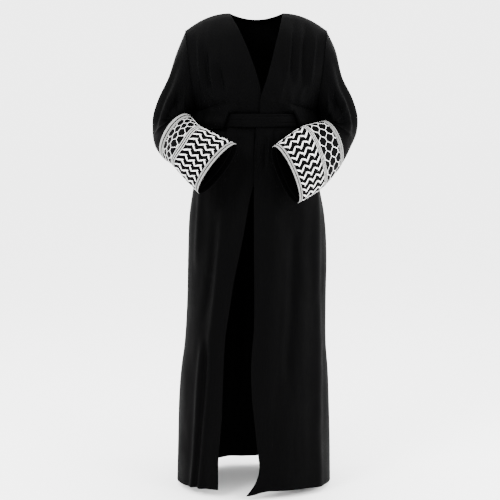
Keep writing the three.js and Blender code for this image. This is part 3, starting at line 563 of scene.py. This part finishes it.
# ------------------------------ bodice fronts
# Two front panels of the same crepe with plain turned edges that make the V of the neck. The wearer's
# left one lies over the right one at the waist, and both blouse over the ends of the sash.
FRONT_COLUMNS = 84
LAP_LIFT, LAP_CENTRE_X = 3.5, 10
# The free edges from the hem up to the neck: z and x.
RIGHT_EDGE = [
    (-1400, -112), (-1308, -111), (-1189, -101), (-1070, -96), (-952, -90), (-864, -77), (-777, -63),
    (-661, -39), (-600, -28), (-538, -16), (-450, 12), (-341, 27), (-301, 25), (-249, 17), (-202, 5),
    (-151, -12), (-108, -28), (-55, -52), (-10, -78),
]
LEFT_EDGE = [
    (-1400, -30), (-1365, -3), (-1331, 9), (-1277, 3), (-1188, -6), (-1129, -12), (-1040, -15),
    (-981, -12), (-923, -7), (-835, -6), (-661, -7), (-538, -7), (-430, -5), (-341, -1), (-301, 2),
    (-249, 14), (-207, 27), (-136, 46), (-65, 64), (-10, 78),
]
FRONT_FOLDS = [
    (-152, -930, -193, -1420, 12, 8),
    (-142, -940, -179, -1420, 11, -8),
    (-88, -540, -136, -980, 14, 8),
    (-130, -890, -167, -1420, 12, 8),
    (-108, -580, -156, -930, 14, -7),
    (-160, -480, -178, -760, 15, 6),
    (-58, -420, -70, -660, 17, -5),
    (177, -480, 189, -1420, 19, 6),
    (112, -600, 94, -1100, 14, -8),
    (54, -520, 26, -1200, 24, 6),
    (97, -26, 86, -220, 8, 5),
    (113, -26, 100, -230, 7, -5),
    (132, -30, 115, -240, 8, 6),
    (150, -40, 132, -250, 8, -6),
    (170, -50, 152, -262, 9, 6),
    (-136, -130, -112, -280, 10, 7),
    (-152, -100, -128, -262, 10, -7),
    (-114, -150, -90, -262, 9, -6),
    (-168, -60, -150, -262, 9, 6),
]
FRONT_GATHERS = [
    (-132, 60, 120, 4), (-104, 100, 90, 5), (-76, 120, 150, 5), (-48, 70, 100, 4), (-20, 90, 130, 4),
    (38, 60, 110, 6), (66, 110, 120, 4), (94, 120, 90, 5), (124, 80, 130, 4),
]
FRONT_CREASES = [
    (-150, -755, -122, -775, 6, 2.5),
    (104, -60, 96, -150, 5, 2),
    (130, -70, 118, -190, 5, -2),
    (84, -180, 70, -262, 6, 2),
    (150, -200, 118, -268, 6, 3),
    (-100, -170, -78, -262, 6, 2.5),
    (-150, -210, -118, -270, 6, 3),
    (28, -346, 24, -470, 4.5, -5),
    (36, -346, 33, -450, 4, 3.5),
    (-2, -344, 2, -450, 4.5, -4.5),
    (6, -344, 10, -450, 4, 3.5),
    (-60, -372, -96, -470, 6, 2.5),
    (80, -372, 120, -480, 6, 2.5),
]
FRONT_CLOTH = (FRONT_FOLDS, FRONT_GATHERS, FRONT_CREASES)
FRONT_REACH = {-1: (0.28, 0.44, 0.42, 0.56), 1: (0.42, 0.6, 0.6, 0.74)}


def lap_share(place):
    """How far the fronts stand apart where they lie over each other."""
    across = rise(abs(place.x - LAP_CENTRE_X), 100, 40)
    return across * rise(place.z, -680, -580) * rise(place.z, -130, -215)


def front_shares(row, side):
    """Places across a front, from its free edge to the side seam."""
    edge_x = read(LEFT_EDGE if side > 0 else RIGHT_EDGE, row[0], 1)
    start = math.asin(edge_x * side / abs(row_end(row, side, -1).x))
    return [math.sin(mix(start, math.pi / 2, c / FRONT_COLUMNS)) for c in range(FRONT_COLUMNS + 1)]


def front_row(row, side):
    """One row of a front, raised or lowered where the fronts lie over each other."""
    edge_x = read(LEFT_EDGE, row[0], 1)
    line = []
    for share in front_shares(row, side):
        place, outward = body_point(row, side, -1, share * side, FRONT_CLOTH)
        place += outward * (LAP_LIFT * side * lap_share(place))
        from_edge = abs(place.x - edge_x) if side > 0 else math.inf
        place.z -= hem_fall(share, row[0], from_edge)
        if row is ARMHOLE_ROWS[-1]:
            lay_on_shoulder(place, side)
        line.append(place)
    return line


def front_blouse(side):
    """The rows of a front between the sash and the underarm."""
    columns = []
    for share in front_shares(ARMHOLE_ROWS[0], side):
        waist, _ = body_point((BELT_TOP_Z, None), side, -1, share * side, FRONT_CLOTH)
        lift = LAP_LIFT * side * lap_share(waist)
        columns.append(blouse_columns(side, -1, share * side, FRONT_CLOTH, FRONT_REACH[side], lift))
    return [list(line) for line in zip(*columns)]


bodice_crepe = black_crepe("black_crepe_bodice", ["X"])
for which, side in (("right", -1), ("left", 1)):
    points = [front_row(row, side) for row in SASHED_ROWS]
    points += front_blouse(side)
    points += [front_row(row, side) for row in ARMHOLE_ROWS]
    draw_back(points, ["foot", "top", "last"])
    bodice = sheet_of_cloth(f"bodice_{which}_cloth", points, bodice_crepe, side < 0)
    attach(bodice, "root")
    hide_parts("bodice_" + which)


# ------------------------------ skirt
# Three panels of the same crepe that hang from the waist in long soft folds: a wide back, and two fronts
# that fall open. The hem dips at the side seams and at the corner of the wearer's left front.
SKIRT_ROWS = [(mix(HEM_Z, BELT_LOW_Z, 1 - (1 - i / 140) ** 1.15), None) for i in range(140)]
SKIRT_ROWS += [(mix(BELT_LOW_Z, WAIST_SEAM_Z, i / 4), None) for i in range(5)]
SIDE_SEAM_GAP = 0.04

skirt_crepe = black_crepe("black_crepe_skirt", ["X", "Y"])
for which, side, flat, area in (
    ("back", 0, (0.74, 1.1), 0.64),
    ("right", -1, (0.42, 1.1), 0.28),
    ("left", 1, (0.42, 1.1), 0.33),
):
    points = [front_row(row, side) if side else back_row(row) for row in SKIRT_ROWS]
    draw_back(points, ["top"])
    draw_back(points, ["last"] if side else ["first", "last"], SIDE_SEAM_GAP)
    material = skirt_crepe if side else black_crepe("black_crepe_skirt_back", ["Y"])
    skirt = sheet_of_cloth(f"skirt_{which}_cloth", points, material, side < 1)
    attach(skirt, "root")
    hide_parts("skirt_" + which)


# ------------------------------ sleeves
# Two wide drop-shoulder sleeves of the same crepe, each one tube. They hang from the armholes to the
# elbows, where the arms bend forwards and the cloth bunches in the crook and droops behind it.
# Each section: number, outer x y z, inner x y z (x outwards), half-depth, turn of its front outwards.
LEFT_SLEEVE = [
    (0, SHOULDER_TIP_X, SEAM_Y, SHOULDER_TIP_Z, UNDERARM_X, SEAM_Y, UNDERARM_Z, ARMHOLE_HALF_DEPTH, 0),
    (1, 233, 7, -116, 181, 2, -305, 84, 2),
    (2, 250, 10, -195, 185, -2, -313, 82, 7),
    (3, 274, 13, -258, 188, -8, -319, 77, 13),
    (4, 291, 9, -318, 191, -16, -322, 72, 19),
    (5, 291, -4, -364, 194, -26, -323, 68, 24),
    (6, 264, -28, -418, 196, -38, -323, 65, 28),
    (7, 237, -48, -460, 197, -50, -323, 62, 30),
    (8, 214, -82, -489, 166, -86, -330, 53, 31),
    (9, 190, -116, -512, 133, -124, -338, 46, 32),
    (10, 153, -150, -534, 90, -158, -364, 44, 33),
    (11, 115, -180, -553, 47, -186, -394, 40, 34),
]
RIGHT_SLEEVE = [
    (0, SHOULDER_TIP_X, SEAM_Y, SHOULDER_TIP_Z, UNDERARM_X, SEAM_Y, UNDERARM_Z, ARMHOLE_HALF_DEPTH, 0),
    (1, 233, 7, -122, 181, 2, -303, 84, 2),
    (2, 257, 10, -200, 186, -2, -309, 82, 7),
    (3, 280, 12, -262, 190, -8, -312, 77, 13),
    (4, 297, 9, -318, 194, -16, -311, 72, 20),
    (5, 301, -3, -360, 197, -26, -308, 68, 26),
    (6, 291, -24, -402, 199, -38, -305, 65, 31),
    (7, 270, -46, -430, 199, -50, -303, 63, 36),
    (8, 254, -80, -441, 181, -84, -320, 56, 38),
    (9, 236, -116, -451, 161, -122, -337, 56, 39),
    (10, 199, -148, -490, 108, -154, -363, 47, 38),
    (11, 161, -174, -526, 55, -182, -388, 40, 37),
]
SLEEVES = [("right", -1, RIGHT_SLEEVE), ("left", 1, LEFT_SLEEVE)]
ELBOW, CUFF = 7, 11
SLEEVE_ROUND, SLEEVE_ROWS, FOREARM_ROWS = 160, 84, 44
# Folds along the sleeve: turn in degrees, start and end (0 armhole, 1 elbow), half-width in degrees, depth.
SLEEVE_FOLDS = [
    (38, 0.05, 0.75, 10, 4),
    (58, 0.02, 0.85, 9, -5),
    (78, 0.08, 0.90, 10, 6),
    (101, 0.03, 0.80, 9, -7),
    (124, 0.10, 0.85, 10, 6),
    (148, 0.10, 0.80, 10, -6),
    (222, 0.10, 0.90, 11, 5),
    (246, 0.05, 0.80, 10, -6),
    (272, 0.10, 0.90, 11, 6),
    (300, 0.05, 0.85, 10, -5),
    (326, 0.15, 0.80, 11, 4),
]
# Drags towards the crook: first turn and section, last turn and section, half-width in mm, depth.
SLEEVE_DRAGS = [
    (168, 5.6, 70, 2.6, 8, 6),
    (176, 6.4, 78, 4.2, 7, -6),
    (172, 6.0, 46, 5.4, 8, 6),
    (150, 3.2, 96, 0.8, 8, 5),
    (126, 3.8, 84, 1.4, 7, -5),
    (196, 5.8, 292, 3.0, 8, 6),
    (190, 6.5, 300, 5.2, 7, -6),
    (214, 4.0, 262, 1.2, 8, 5),
    (34, 4.8, 30, 2.0, 9, 3),
    (330, 4.6, 336, 1.8, 9, -4),
]
MM_PER_DEGREE, MM_PER_SECTION = 1.3, 42
DRAGS_IN_MM = [
    (turn * MM_PER_DEGREE, along * MM_PER_SECTION, last_turn * MM_PER_DEGREE, last * MM_PER_SECTION, *rest)
    for turn, along, last_turn, last, *rest in SLEEVE_DRAGS
]
SLEEVE_SLACK = 3.0


def sleeve_point(table, side, along, turn):
    """A point of the sleeve; turn 0 is the outer line, and the front of the arm follows it."""
    ox, oy, oz, ix, iy, iz, half, yaw = (read(table, along, k) for k in range(1, 9))
    outer, inner = Vector((ox, oy, oz)), Vector((ix, iy, iz))
    centre, long = (outer + inner) / 2, (outer - inner) / 2
    longest = long.normalized()
    front = Vector((math.sin(math.radians(yaw)), -math.cos(math.radians(yaw)), 0))
    front = (front - longest * front.dot(longest)).normalized()
    radial = longest * (math.cos(turn) / long.length) + front * (math.sin(turn) / half)
    radial.normalize()
    place = centre + long * math.cos(turn) + front * (half * math.sin(turn))
    place += radial * sleeve_ripple(along, math.degrees(turn))
    place.x *= side
    return place


def sleeve_ripple(along, angle):
    """Depth of the folds of the upper sleeve; the forearm is smooth."""
    share = along / ELBOW
    depth = 0.0
    for home, start, end, width, height in SLEEVE_FOLDS:
        middle, half = (start + end) / 2, (end - start) / 2
        swell = rise(abs(share - middle), half, half * 0.3)
        depth += height * swell * math.exp(-(((angle - home) / width) ** 2))
    depth += short_creases(DRAGS_IN_MM, angle * MM_PER_DEGREE, along * MM_PER_SECTION)
    around = math.radians(angle)
    loose = Vector((1.5 * math.cos(around), 1.5 * math.sin(around), along * 0.55))
    depth += SLEEVE_SLACK * noise.noise(loose)
    return depth * rise(share, 0, 0.12) * rise(share, 1, 0.9)


def tube_points(table, side, start, end, rows):
    """A stretch of the sleeve as rows of points all round."""
    return [
        [sleeve_point(table, side, mix(start, end, r / rows), 2 * math.pi * c / SLEEVE_ROUND)
         for c in range(SLEEVE_ROUND + 1)]
        for r in range(rows + 1)
    ]


sleeve_crepe = black_crepe("black_crepe_sleeve")
for which, side, table in SLEEVES:
    points = tube_points(table, side, 0, ELBOW, SLEEVE_ROWS)
    draw_back(points, ["foot", "top"])
    sleeve = sheet_of_cloth("sleeve_upper_" + which, points, sleeve_crepe, side < 0, tube=True)
    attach(sleeve, "root")
    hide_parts("sleeve_" + which)


# ------------------------------ forearm panels
# The lower sleeve, a tube of the same black crepe that flares a little towards the cuff. It carries the
# embroidery, so it is firmer than the rest and hangs in a smooth flattened tube.
CUFF_BORDER, FOREARM_MIDDLE = 14, 202
BORDER_START = CUFF - (CUFF - ELBOW) * CUFF_BORDER / FOREARM_MIDDLE
FOREARM_GIRTH, FOREARM_LENGTH = 0.430, 0.210

forearm_crepe = black_crepe("black_crepe_forearm")
for which, side, table in SLEEVES:
    points = tube_points(table, side, ELBOW, BORDER_START, FOREARM_ROWS)
    draw_back(points, ["foot", "top"])
    panel = sheet_of_cloth("forearm_panel_" + which, points, forearm_crepe, side < 0, tube=True)
    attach(panel, "root")
    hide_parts("sleeve_band_" + which)


# ------------------------------ embroidery of the forearms
# Keffiyeh bands worked in white and grey thread on the black crepe: a corded border at the elbow, a
# fishnet, three cords, and rows of olive-leaf zigzags down to the cuff. Every stroke is satin stitch.
# Cords: how far from the elbow, and width. The bands between them start and end at such places too.
BORDER_CORDS = [(0.0013, 0.0019), (0.0040, 0.0019), (0.0067, 0.0019), (0.0094, 0.0017)]
MIDDLE_CORDS = [(0.0930, 0.0022), (0.0986, 0.0022), (0.1042, 0.0022)]
CORD_HEIGHT = 0.001
NET_START, NET_END, NET_LINES, NET_CELLS = 0.0112, 0.0914, 20, 2.3
NET_HEIGHT, NET_BAR_WIDTH, NET_SLANT_WIDTH, NET_HEAVY_SLANT_WIDTH = 0.0008, 0.0029, 0.0018, 0.0023
LEAF_START, LEAF_END, LEAF_ROWS, LEAVES = 0.1071, 0.1945, 22, 3
ZIGZAG_WIDTH, LEAF_WIDTH, LEAF_HEIGHT, LEAF_TIP = 0.0118, 0.0048, 0.0012, 0.0040
# The bands keep the pitch that they have at the cuff, so they start at these sections of the sleeve. The
# border's first two cords spread over the cloth between there and the seam at the elbow.
BAND_START = {-1: 7.539, 1: 7.203}
RIGHT_BAND_SAG = 0.012
WRAP_ROWS, WRAP_COLUMNS = 48, 216
STITCH_STEP = 0.0021
# A stroke's section: share of the half-width, and of the height above the cloth.
STROKE_SECTION = [(0, -0.15), (-1, 0.08), (-0.55, 0.85), (0.55, 0.85), (1, 0.08), (0, -0.15)]


def even_points(line, count):
    """Points at even steps along a line of points."""
    run = run_along(line)
    k = 0
    for step in range(count + 1):
        want = run[-1] * step / count
        while k < len(run) - 2 and run[k + 1] < want:
            k += 1
        yield line[k].lerp(line[k + 1], (want - run[k]) / (run[k + 1] - run[k]))


def forearm_wrap(table, side):
    """Gives the point that lies so far round and along the forearm, in metres, and so high above it."""
    places = []
    for r in range(WRAP_ROWS + 1):
        along = mix(BAND_START[side], CUFF, r / WRAP_ROWS) if r else ELBOW
        ring = [sleeve_point(table, side, along, 2 * math.pi * c / 360) for c in range(361)]
        places.append(list(even_points(ring, WRAP_COLUMNS)))
    facing = []
    for r in range(WRAP_ROWS + 1):
        line = []
        for c in range(WRAP_COLUMNS + 1):
            up = places[min(r + 1, WRAP_ROWS)][c] - places[max(r - 1, 0)][c]
            across = places[r][(c + 1) % WRAP_COLUMNS] - places[r][(c - 1) % WRAP_COLUMNS]
            line.append(across.cross(up).normalized() * side)
        facing.append(line)

    def between(grid, r, c, share_r, share_c):
        low = grid[r][c].lerp(grid[r][c + 1], share_c)
        return low.lerp(grid[r + 1][c].lerp(grid[r + 1][c + 1], share_c), share_r)

    def wrap(around, along, lift):
        if side < 0:
            off_face = (around / FOREARM_GIRTH % 1.0 - 0.25) / 0.13
            sag = RIGHT_BAND_SAG * math.exp(-off_face * off_face)
            along += sag * math.sin(math.pi * min(max(along / LEAF_END, 0), 1))
        c = (around / FOREARM_GIRTH % 1.0) * WRAP_COLUMNS
        r = min(max(along / FOREARM_LENGTH, 0), 1) * WRAP_ROWS
        c0, r0 = min(int(c), WRAP_COLUMNS - 1), min(int(r), WRAP_ROWS - 1)
        place = between(places, r0, c0, r - r0, c - c0)
        return place * MM + between(facing, r0, c0, r - r0, c - c0).normalized() * lift

    return wrap


def stroke_fullness(share, closed, leaf):
    """Width and height of a stroke at a share of its length. A leaf is narrow at both ends and full in
    the middle; another open stroke only has smaller ends."""
    if leaf:
        full = math.sin(math.pi * mix(0.13, 0.87, share)) ** 0.8
        return full, mix(0.6, 1, full)
    if not closed and share in (0, 1):
        return 0.62, 0.6
    return 1, 1


def satin_stroke(mesh, path, width, height, wrap, turned_over, closed=False, leaf=False):
    """A raised band of stitches along a path of (round, along) points, closed underneath."""
    fine = [path[0]]
    for a, b in zip(path, path[1:]):
        steps = max(1, round(math.dist(a, b) / STITCH_STEP))
        fine += [(mix(a[0], b[0], k / steps), mix(a[1], b[1], k / steps)) for k in range(1, steps + 1)]
    last = len(fine) - 1
    sides = len(STROKE_SECTION) - 1
    home, faces = grid(mesh, last, sides)
    stitch = mesh.loops.layers.uv.get("stitch") or mesh.loops.layers.uv.new("stitch")
    run = run_along(fine)
    for face in faces:
        for loop in face.loops:
            i, j = home[loop.vert]
            loop[stitch].uv = (STROKE_SECTION[j][0] * width / 2, run[i])
    for v, (i, j) in home.items():
        before, after = fine[max(i - 1, 0)], fine[min(i + 1, last)]
        if closed and i in (0, last):
            before, after = fine[last - 1], (fine[last][0] + fine[1][0] - fine[0][0], fine[1][1])
        lean = Vector((after[0] - before[0], after[1] - before[1])).normalized()
        mitre = 1.0
        if 0 < i < last:
            ahead = Vector(fine[i + 1]) - Vector(fine[i])
            mitre = max(0.6, lean.dot(ahead.normalized()))
        wide, tall = stroke_fullness(i / last, closed, leaf)
        across = STROKE_SECTION[j][0] * wide * width / 2 / mitre
        lift = STROKE_SECTION[j][1] * tall * height
        v.co = wrap(fine[i][0] - lean.y * across, fine[i][1] + lean.x * across, lift)
    if turned_over:
        bmesh.ops.reverse_faces(mesh, faces=list(faces))
    bmesh.ops.remove_doubles(mesh, verts=list(home), dist=1e-7)
    if not closed:
        rims = {e for f in faces if f.is_valid for e in f.edges if e.is_boundary}
        bmesh.ops.holes_fill(mesh, edges=list(rims), sides=8)


def embroidery(name, material, strokes, height, wrap, side, **shape):
    """A piece of many strokes, each a path and a width."""
    mesh = bmesh.new()
    for path, width in strokes:
        satin_stroke(mesh, path, width, height, wrap, side < 0, **shape)
    return finished(name, mesh, material)


def cord_strokes(cords):
    """Closed rings round the forearm."""
    for along, width in cords:
        yield [(FOREARM_GIRTH * k / 24, along) for k in range(25)], width


def net_slant(start, end):
    """A slanting stroke of the net from one (round, along) point down to another, cut to the band."""
    (u0, v0), (u1, v1) = start, end
    low, high = max(v0, NET_START), min(v1, NET_END)
    if high - low > 0.002:
        yield [(mix(u0, u1, (v - v0) / (v1 - v0)), v) for v in (low, high)]


def fishnet_strokes(side):
    """Cells stand in lines along the sleeve, each line half a cell on from its neighbours."""
    line_gap = FOREARM_GIRTH / NET_LINES
    cell = (NET_END - NET_START) / NET_CELLS
    for line in range(NET_LINES):
        middle = (line + 0.5) * line_gap
        left, near, far = (middle + line_gap * share for share in (-0.24, 0.24, 0.76))
        start = NET_START + cell * (0.22 if line % 2 else 0.72) - 2 * cell
        for k in range(6):
            centre = start + k * cell
            bar = centre + cell / 2
            if NET_START < bar < NET_END:
                yield [(left, bar), (near, bar)], NET_BAR_WIDTH
            for path in net_slant((far, centre), (near, bar)):
                yield path, NET_SLANT_WIDTH
            for path in net_slant((near, centre - cell / 2), (far, centre)):
                yield path, NET_HEAVY_SLANT_WIDTH if side > 0 else NET_SLANT_WIDTH


def leaf_strokes(side):
    """Each row zigzags down the sleeve, one leaf to a stroke; the tips reach past one side's corners."""
    row_gap = FOREARM_GIRTH / LEAF_ROWS
    half = (LEAF_END - LEAF_START) / (2 * LEAVES)
    for row in range(LEAF_ROWS):
        foot = row * row_gap
        for k in range(2 * LEAVES):
            falls = (k % 2 == 0) == (side > 0)
            tip = 0.0002 if k % 2 else LEAF_TIP
            start, stop = (ZIGZAG_WIDTH, 0.0) if falls else (0.0, ZIGZAG_WIDTH)
            slope = (stop - start) / half
            top = LEAF_START + k * half
            low, high = top - 0.0004, min(top + half + tip, LEAF_END)
            yield [(foot + start + slope * (v - top), v) for v in (low, high)], LEAF_WIDTH


def stitch_group():
    """Satin stitch: threads laid side by side across the stroke, each of a random tone, with painted shade
    in the grooves between them.
    """
    tree, given, result = node_group("satin_stitch", {"Stitch": None, "Thread": 0.0008}, ["Height", "Shade"])
    place = node(tree, "ShaderNodeSeparateXYZ", Vector=given["Stitch"]).outputs
    drift = node(tree, "ShaderNodeTexNoise", Vector=given["Stitch"], Scale=240, Detail=1.0).outputs[0]
    slant = maths(tree, "MULTIPLY_ADD", place["X"], 0.25, place["Y"])
    moved = maths(tree, "MULTIPLY_ADD", drift, 0.0006, slant)
    count = maths(tree, "DIVIDE", moved, given["Thread"])
    lobe = maths(tree, "ABSOLUTE", maths(tree, "SINE", maths(tree, "MULTIPLY", count, math.pi)))
    each = node(tree, "ShaderNodeTexWhiteNoise", {"noise_dimensions": "1D"}, W=maths(tree, "FLOOR", count))
    tree.links.new(lobe, result["Height"])
    # Shade: each thread's random tone times the lobe, which paints shade into the grooves between the
    # threads.
    tree.links.new(maths(tree, "MULTIPLY", each.outputs["Value"], lobe), result["Shade"])
    return tree


SATIN_STITCH = stitch_group()


def thread(name, light, dark):
    """Matt cotton embroidery thread."""
    material, tree, shader = new_material(
        name, {"Roughness": 0.62, "Sheen Weight": 0.25, "Specular IOR Level": 0.4})
    stitch = node(tree, "ShaderNodeUVMap", {"uv_map": "stitch"}).outputs[0]
    satin = node(tree, "ShaderNodeGroup", {"node_tree": SATIN_STITCH}, Stitch=stitch).outputs
    # The colour runs from the light to the dark tone: it changes at random from thread to thread, and is
    # darkest in the painted shade of the grooves between threads.
    shade = ramp(tree, satin["Shade"], 0.0, 0.6, 0.25, 1.0, "LINEAR")
    tree.links.new(two_tone(tree, shade, dark, light), shader["Base Color"])
    bump = node(tree, "ShaderNodeBump", Strength=0.5, Distance=0.0003, Height=satin["Height"])
    tree.links.new(bump.outputs["Normal"], shader["Normal"])
    return material


white_thread = thread("white_thread", (0.86, 0.86, 0.85), (0.58, 0.58, 0.57))
pale_thread = thread("pale_thread", (0.52, 0.52, 0.51), (0.3, 0.3, 0.29))
grey_thread = thread("grey_thread", (0.20, 0.20, 0.195), (0.10, 0.10, 0.095))

wraps = {}
for which, side, table in SLEEVES:
    wrap = wraps[which] = forearm_wrap(table, side)
    works = [
        embroidery("fishnet_" + which, white_thread, fishnet_strokes(side), NET_HEIGHT, wrap, side),
        embroidery("olive_leaves_" + which, white_thread, leaf_strokes(side), LEAF_HEIGHT, wrap, side,
                   leaf=True),
        embroidery("middle_cords_" + which, pale_thread, cord_strokes(MIDDLE_CORDS), CORD_HEIGHT, wrap, side,
                   closed=True),
        embroidery("elbow_border_" + which, grey_thread, cord_strokes(BORDER_CORDS), CORD_HEIGHT, wrap, side,
                   closed=True),
    ]
    for work in works:
        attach(work, "root")


# ------------------------------ cuff borders
# A firm stitched border round each sleeve opening, worked densely in grey thread with a darker line
# along its middle. It keeps the wide cuff open.
CUFF_CORDS, CUFF_CORD_HEIGHT = [(0.1983, 0.0050), (0.2061, 0.0056)], 0.0011

for which, side, table in SLEEVES:
    points = tube_points(table, side, BORDER_START, CUFF, 5)
    draw_back(points, ["foot"])
    border = sheet_of_cloth("cuff_cloth_" + which, points, forearm_crepe, side < 0, tube=True)
    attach(border, "root")
    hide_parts("cuff_border_" + which)
    cords = embroidery("cuff_stitching_" + which, grey_thread, cord_strokes(CUFF_CORDS), CUFF_CORD_HEIGHT,
                       wraps[which], side, closed=True)
    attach(cords, "root")


# ------------------------------ sash
# A soft sash of the same crepe, drawn round the waist over both fronts. It is folded along its length,
# and the pull has set long creases in it.
SASH_WALL, SASH_CLEAR, SASH_BULGE = 2.4, 0.9, 1.5
SASH_ROWS, SASH_ROUND = 30, 288
# Creases along the sash: share of its height, half-width as such a share, and depth.
SASH_CREASES = [(0.32, 0.05, 1.0), (0.53, 0.045, 1.3), (0.76, 0.05, 1.1), (0.16, 0.04, 0.5)]


def sash_swell(share, turn):
    """How far the sash's face stands out: soft edges, a full middle, and long creases that wander."""
    swell = SASH_BULGE * (1 - abs(2 * share - 1) ** 6)
    for home, width, depth in SASH_CREASES:
        line_at = home + 0.03 * math.sin(2 * turn + home * 9) + 0.02 * math.sin(5 * turn + home * 31)
        fade = 0.6 + 0.4 * math.sin(3 * turn + home * 17)
        swell -= depth * fade * math.exp(-(((share - line_at) / width) ** 2))
    return swell + 0.4 * math.sin(3 * turn)


def sash_point(share, turn):
    """A point of the sash's outer face; turn 0 is the middle of the front."""
    across = math.sin(turn)
    facing = -1 if math.cos(turn) > 0 else 1
    row = (mix(BELT_LOW_Z + 1, BELT_TOP_Z - 1, share), None)
    place, _ = body_point(row, -1 if across < 0 else 1, facing, across, ([], [], []))
    lap = LAP_LIFT * rise(abs(place.x - LAP_CENTRE_X), 100, 40) if facing < 0 else 0
    out = Vector((math.sin(turn), -math.cos(turn), 0))
    return place + out * (SASH_CLEAR + SASH_WALL + sash_swell(share, turn) + lap)


points = [
    [sash_point(r / SASH_ROWS, 2 * math.pi * c / SASH_ROUND) for c in range(SASH_ROUND + 1)]
    for r in range(SASH_ROWS + 1)
]
sash = sheet_of_cloth("sash", points, black_crepe("black_crepe_sash"), tube=True, wall=SASH_WALL * MM)
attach(sash, "root")
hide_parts("belt")


# ------------------------------ studio
# A plain pale floor under the hem, a surround that is white behind and above, two large soft lights in
# front of the garment, a smaller one at each side, and the camera at chest height.
FLOOR_Z, FLOOR_SIZE = -1.4265, 40
CAMERA_PLACE, CAMERA_AIM, CAMERA_LENS = Vector((-0.018, -3.3, -0.3)), Vector((-0.018, 0, -0.708)), 79.8
# Each lamp: name, place, what it points at, width in metres, and power in watts.
LAMPS = [
    ("key", (-2.0, -2.4, 1.4), (0, 0, -0.6), 1.2, 170),
    ("fill", (2.3, -2.0, 0.4), (0, 0, -0.7), 1.2, 90),
    ("right_rim", (2.7, -0.1, -0.3), (0, 0, -0.8), 0.8, 85),
    ("left_rim", (-2.6, 0.4, -0.3), (0, 0, -0.8), 0.8, 40),
]


def place_and_aim(name, data, place, target):
    """Stands a lamp or the camera at a place, pointing at another."""
    thing = bpy.data.objects.new(name, data)
    thing.location = place
    thing.rotation_euler = (Vector(target) - Vector(place)).to_track_quat("-Z", "Y").to_euler()
    bpy.context.scene.collection.objects.link(thing)
    return thing


mesh = bmesh.new()
bmesh.ops.create_grid(mesh, x_segments=1, y_segments=1, size=FLOOR_SIZE)
for v in mesh.verts:
    v.co.z = FLOOR_Z
pale, _, _ = new_material("pale_floor", {"Base Color": (0.95, 0.95, 0.95, 1), "Roughness": 0.9})
floor = finished("floor", mesh, pale)

world = bpy.data.worlds.new("white_surround")
world.use_nodes = True
tree = world.node_tree
direction = node(tree, "ShaderNodeTexCoord").outputs["Generated"]
parts = node(tree, "ShaderNodeSeparateXYZ", Vector=direction).outputs
behind = ramp(tree, parts["Y"], -0.2, 0.5, 0.4, 4.3)
overhead = ramp(tree, parts["Z"], 0.25, 0.5, 0.0, 4.9)
background = tree.nodes["Background"].inputs
background["Color"].default_value = (1, 1, 1, 1)
tree.links.new(maths(tree, "MAXIMUM", behind, overhead), background["Strength"])
bpy.context.scene.world = world

for name, place, target, size, power in LAMPS:
    lamp = bpy.data.lights.new(name, "AREA")
    lamp.size = size
    lamp.energy = power
    place_and_aim(name, lamp, place, target)

view = bpy.data.cameras.new("camera")
view.sensor_width = 36
view.lens = CAMERA_LENS
bpy.context.scene.camera = place_and_aim("camera", view, CAMERA_PLACE, CAMERA_AIM)
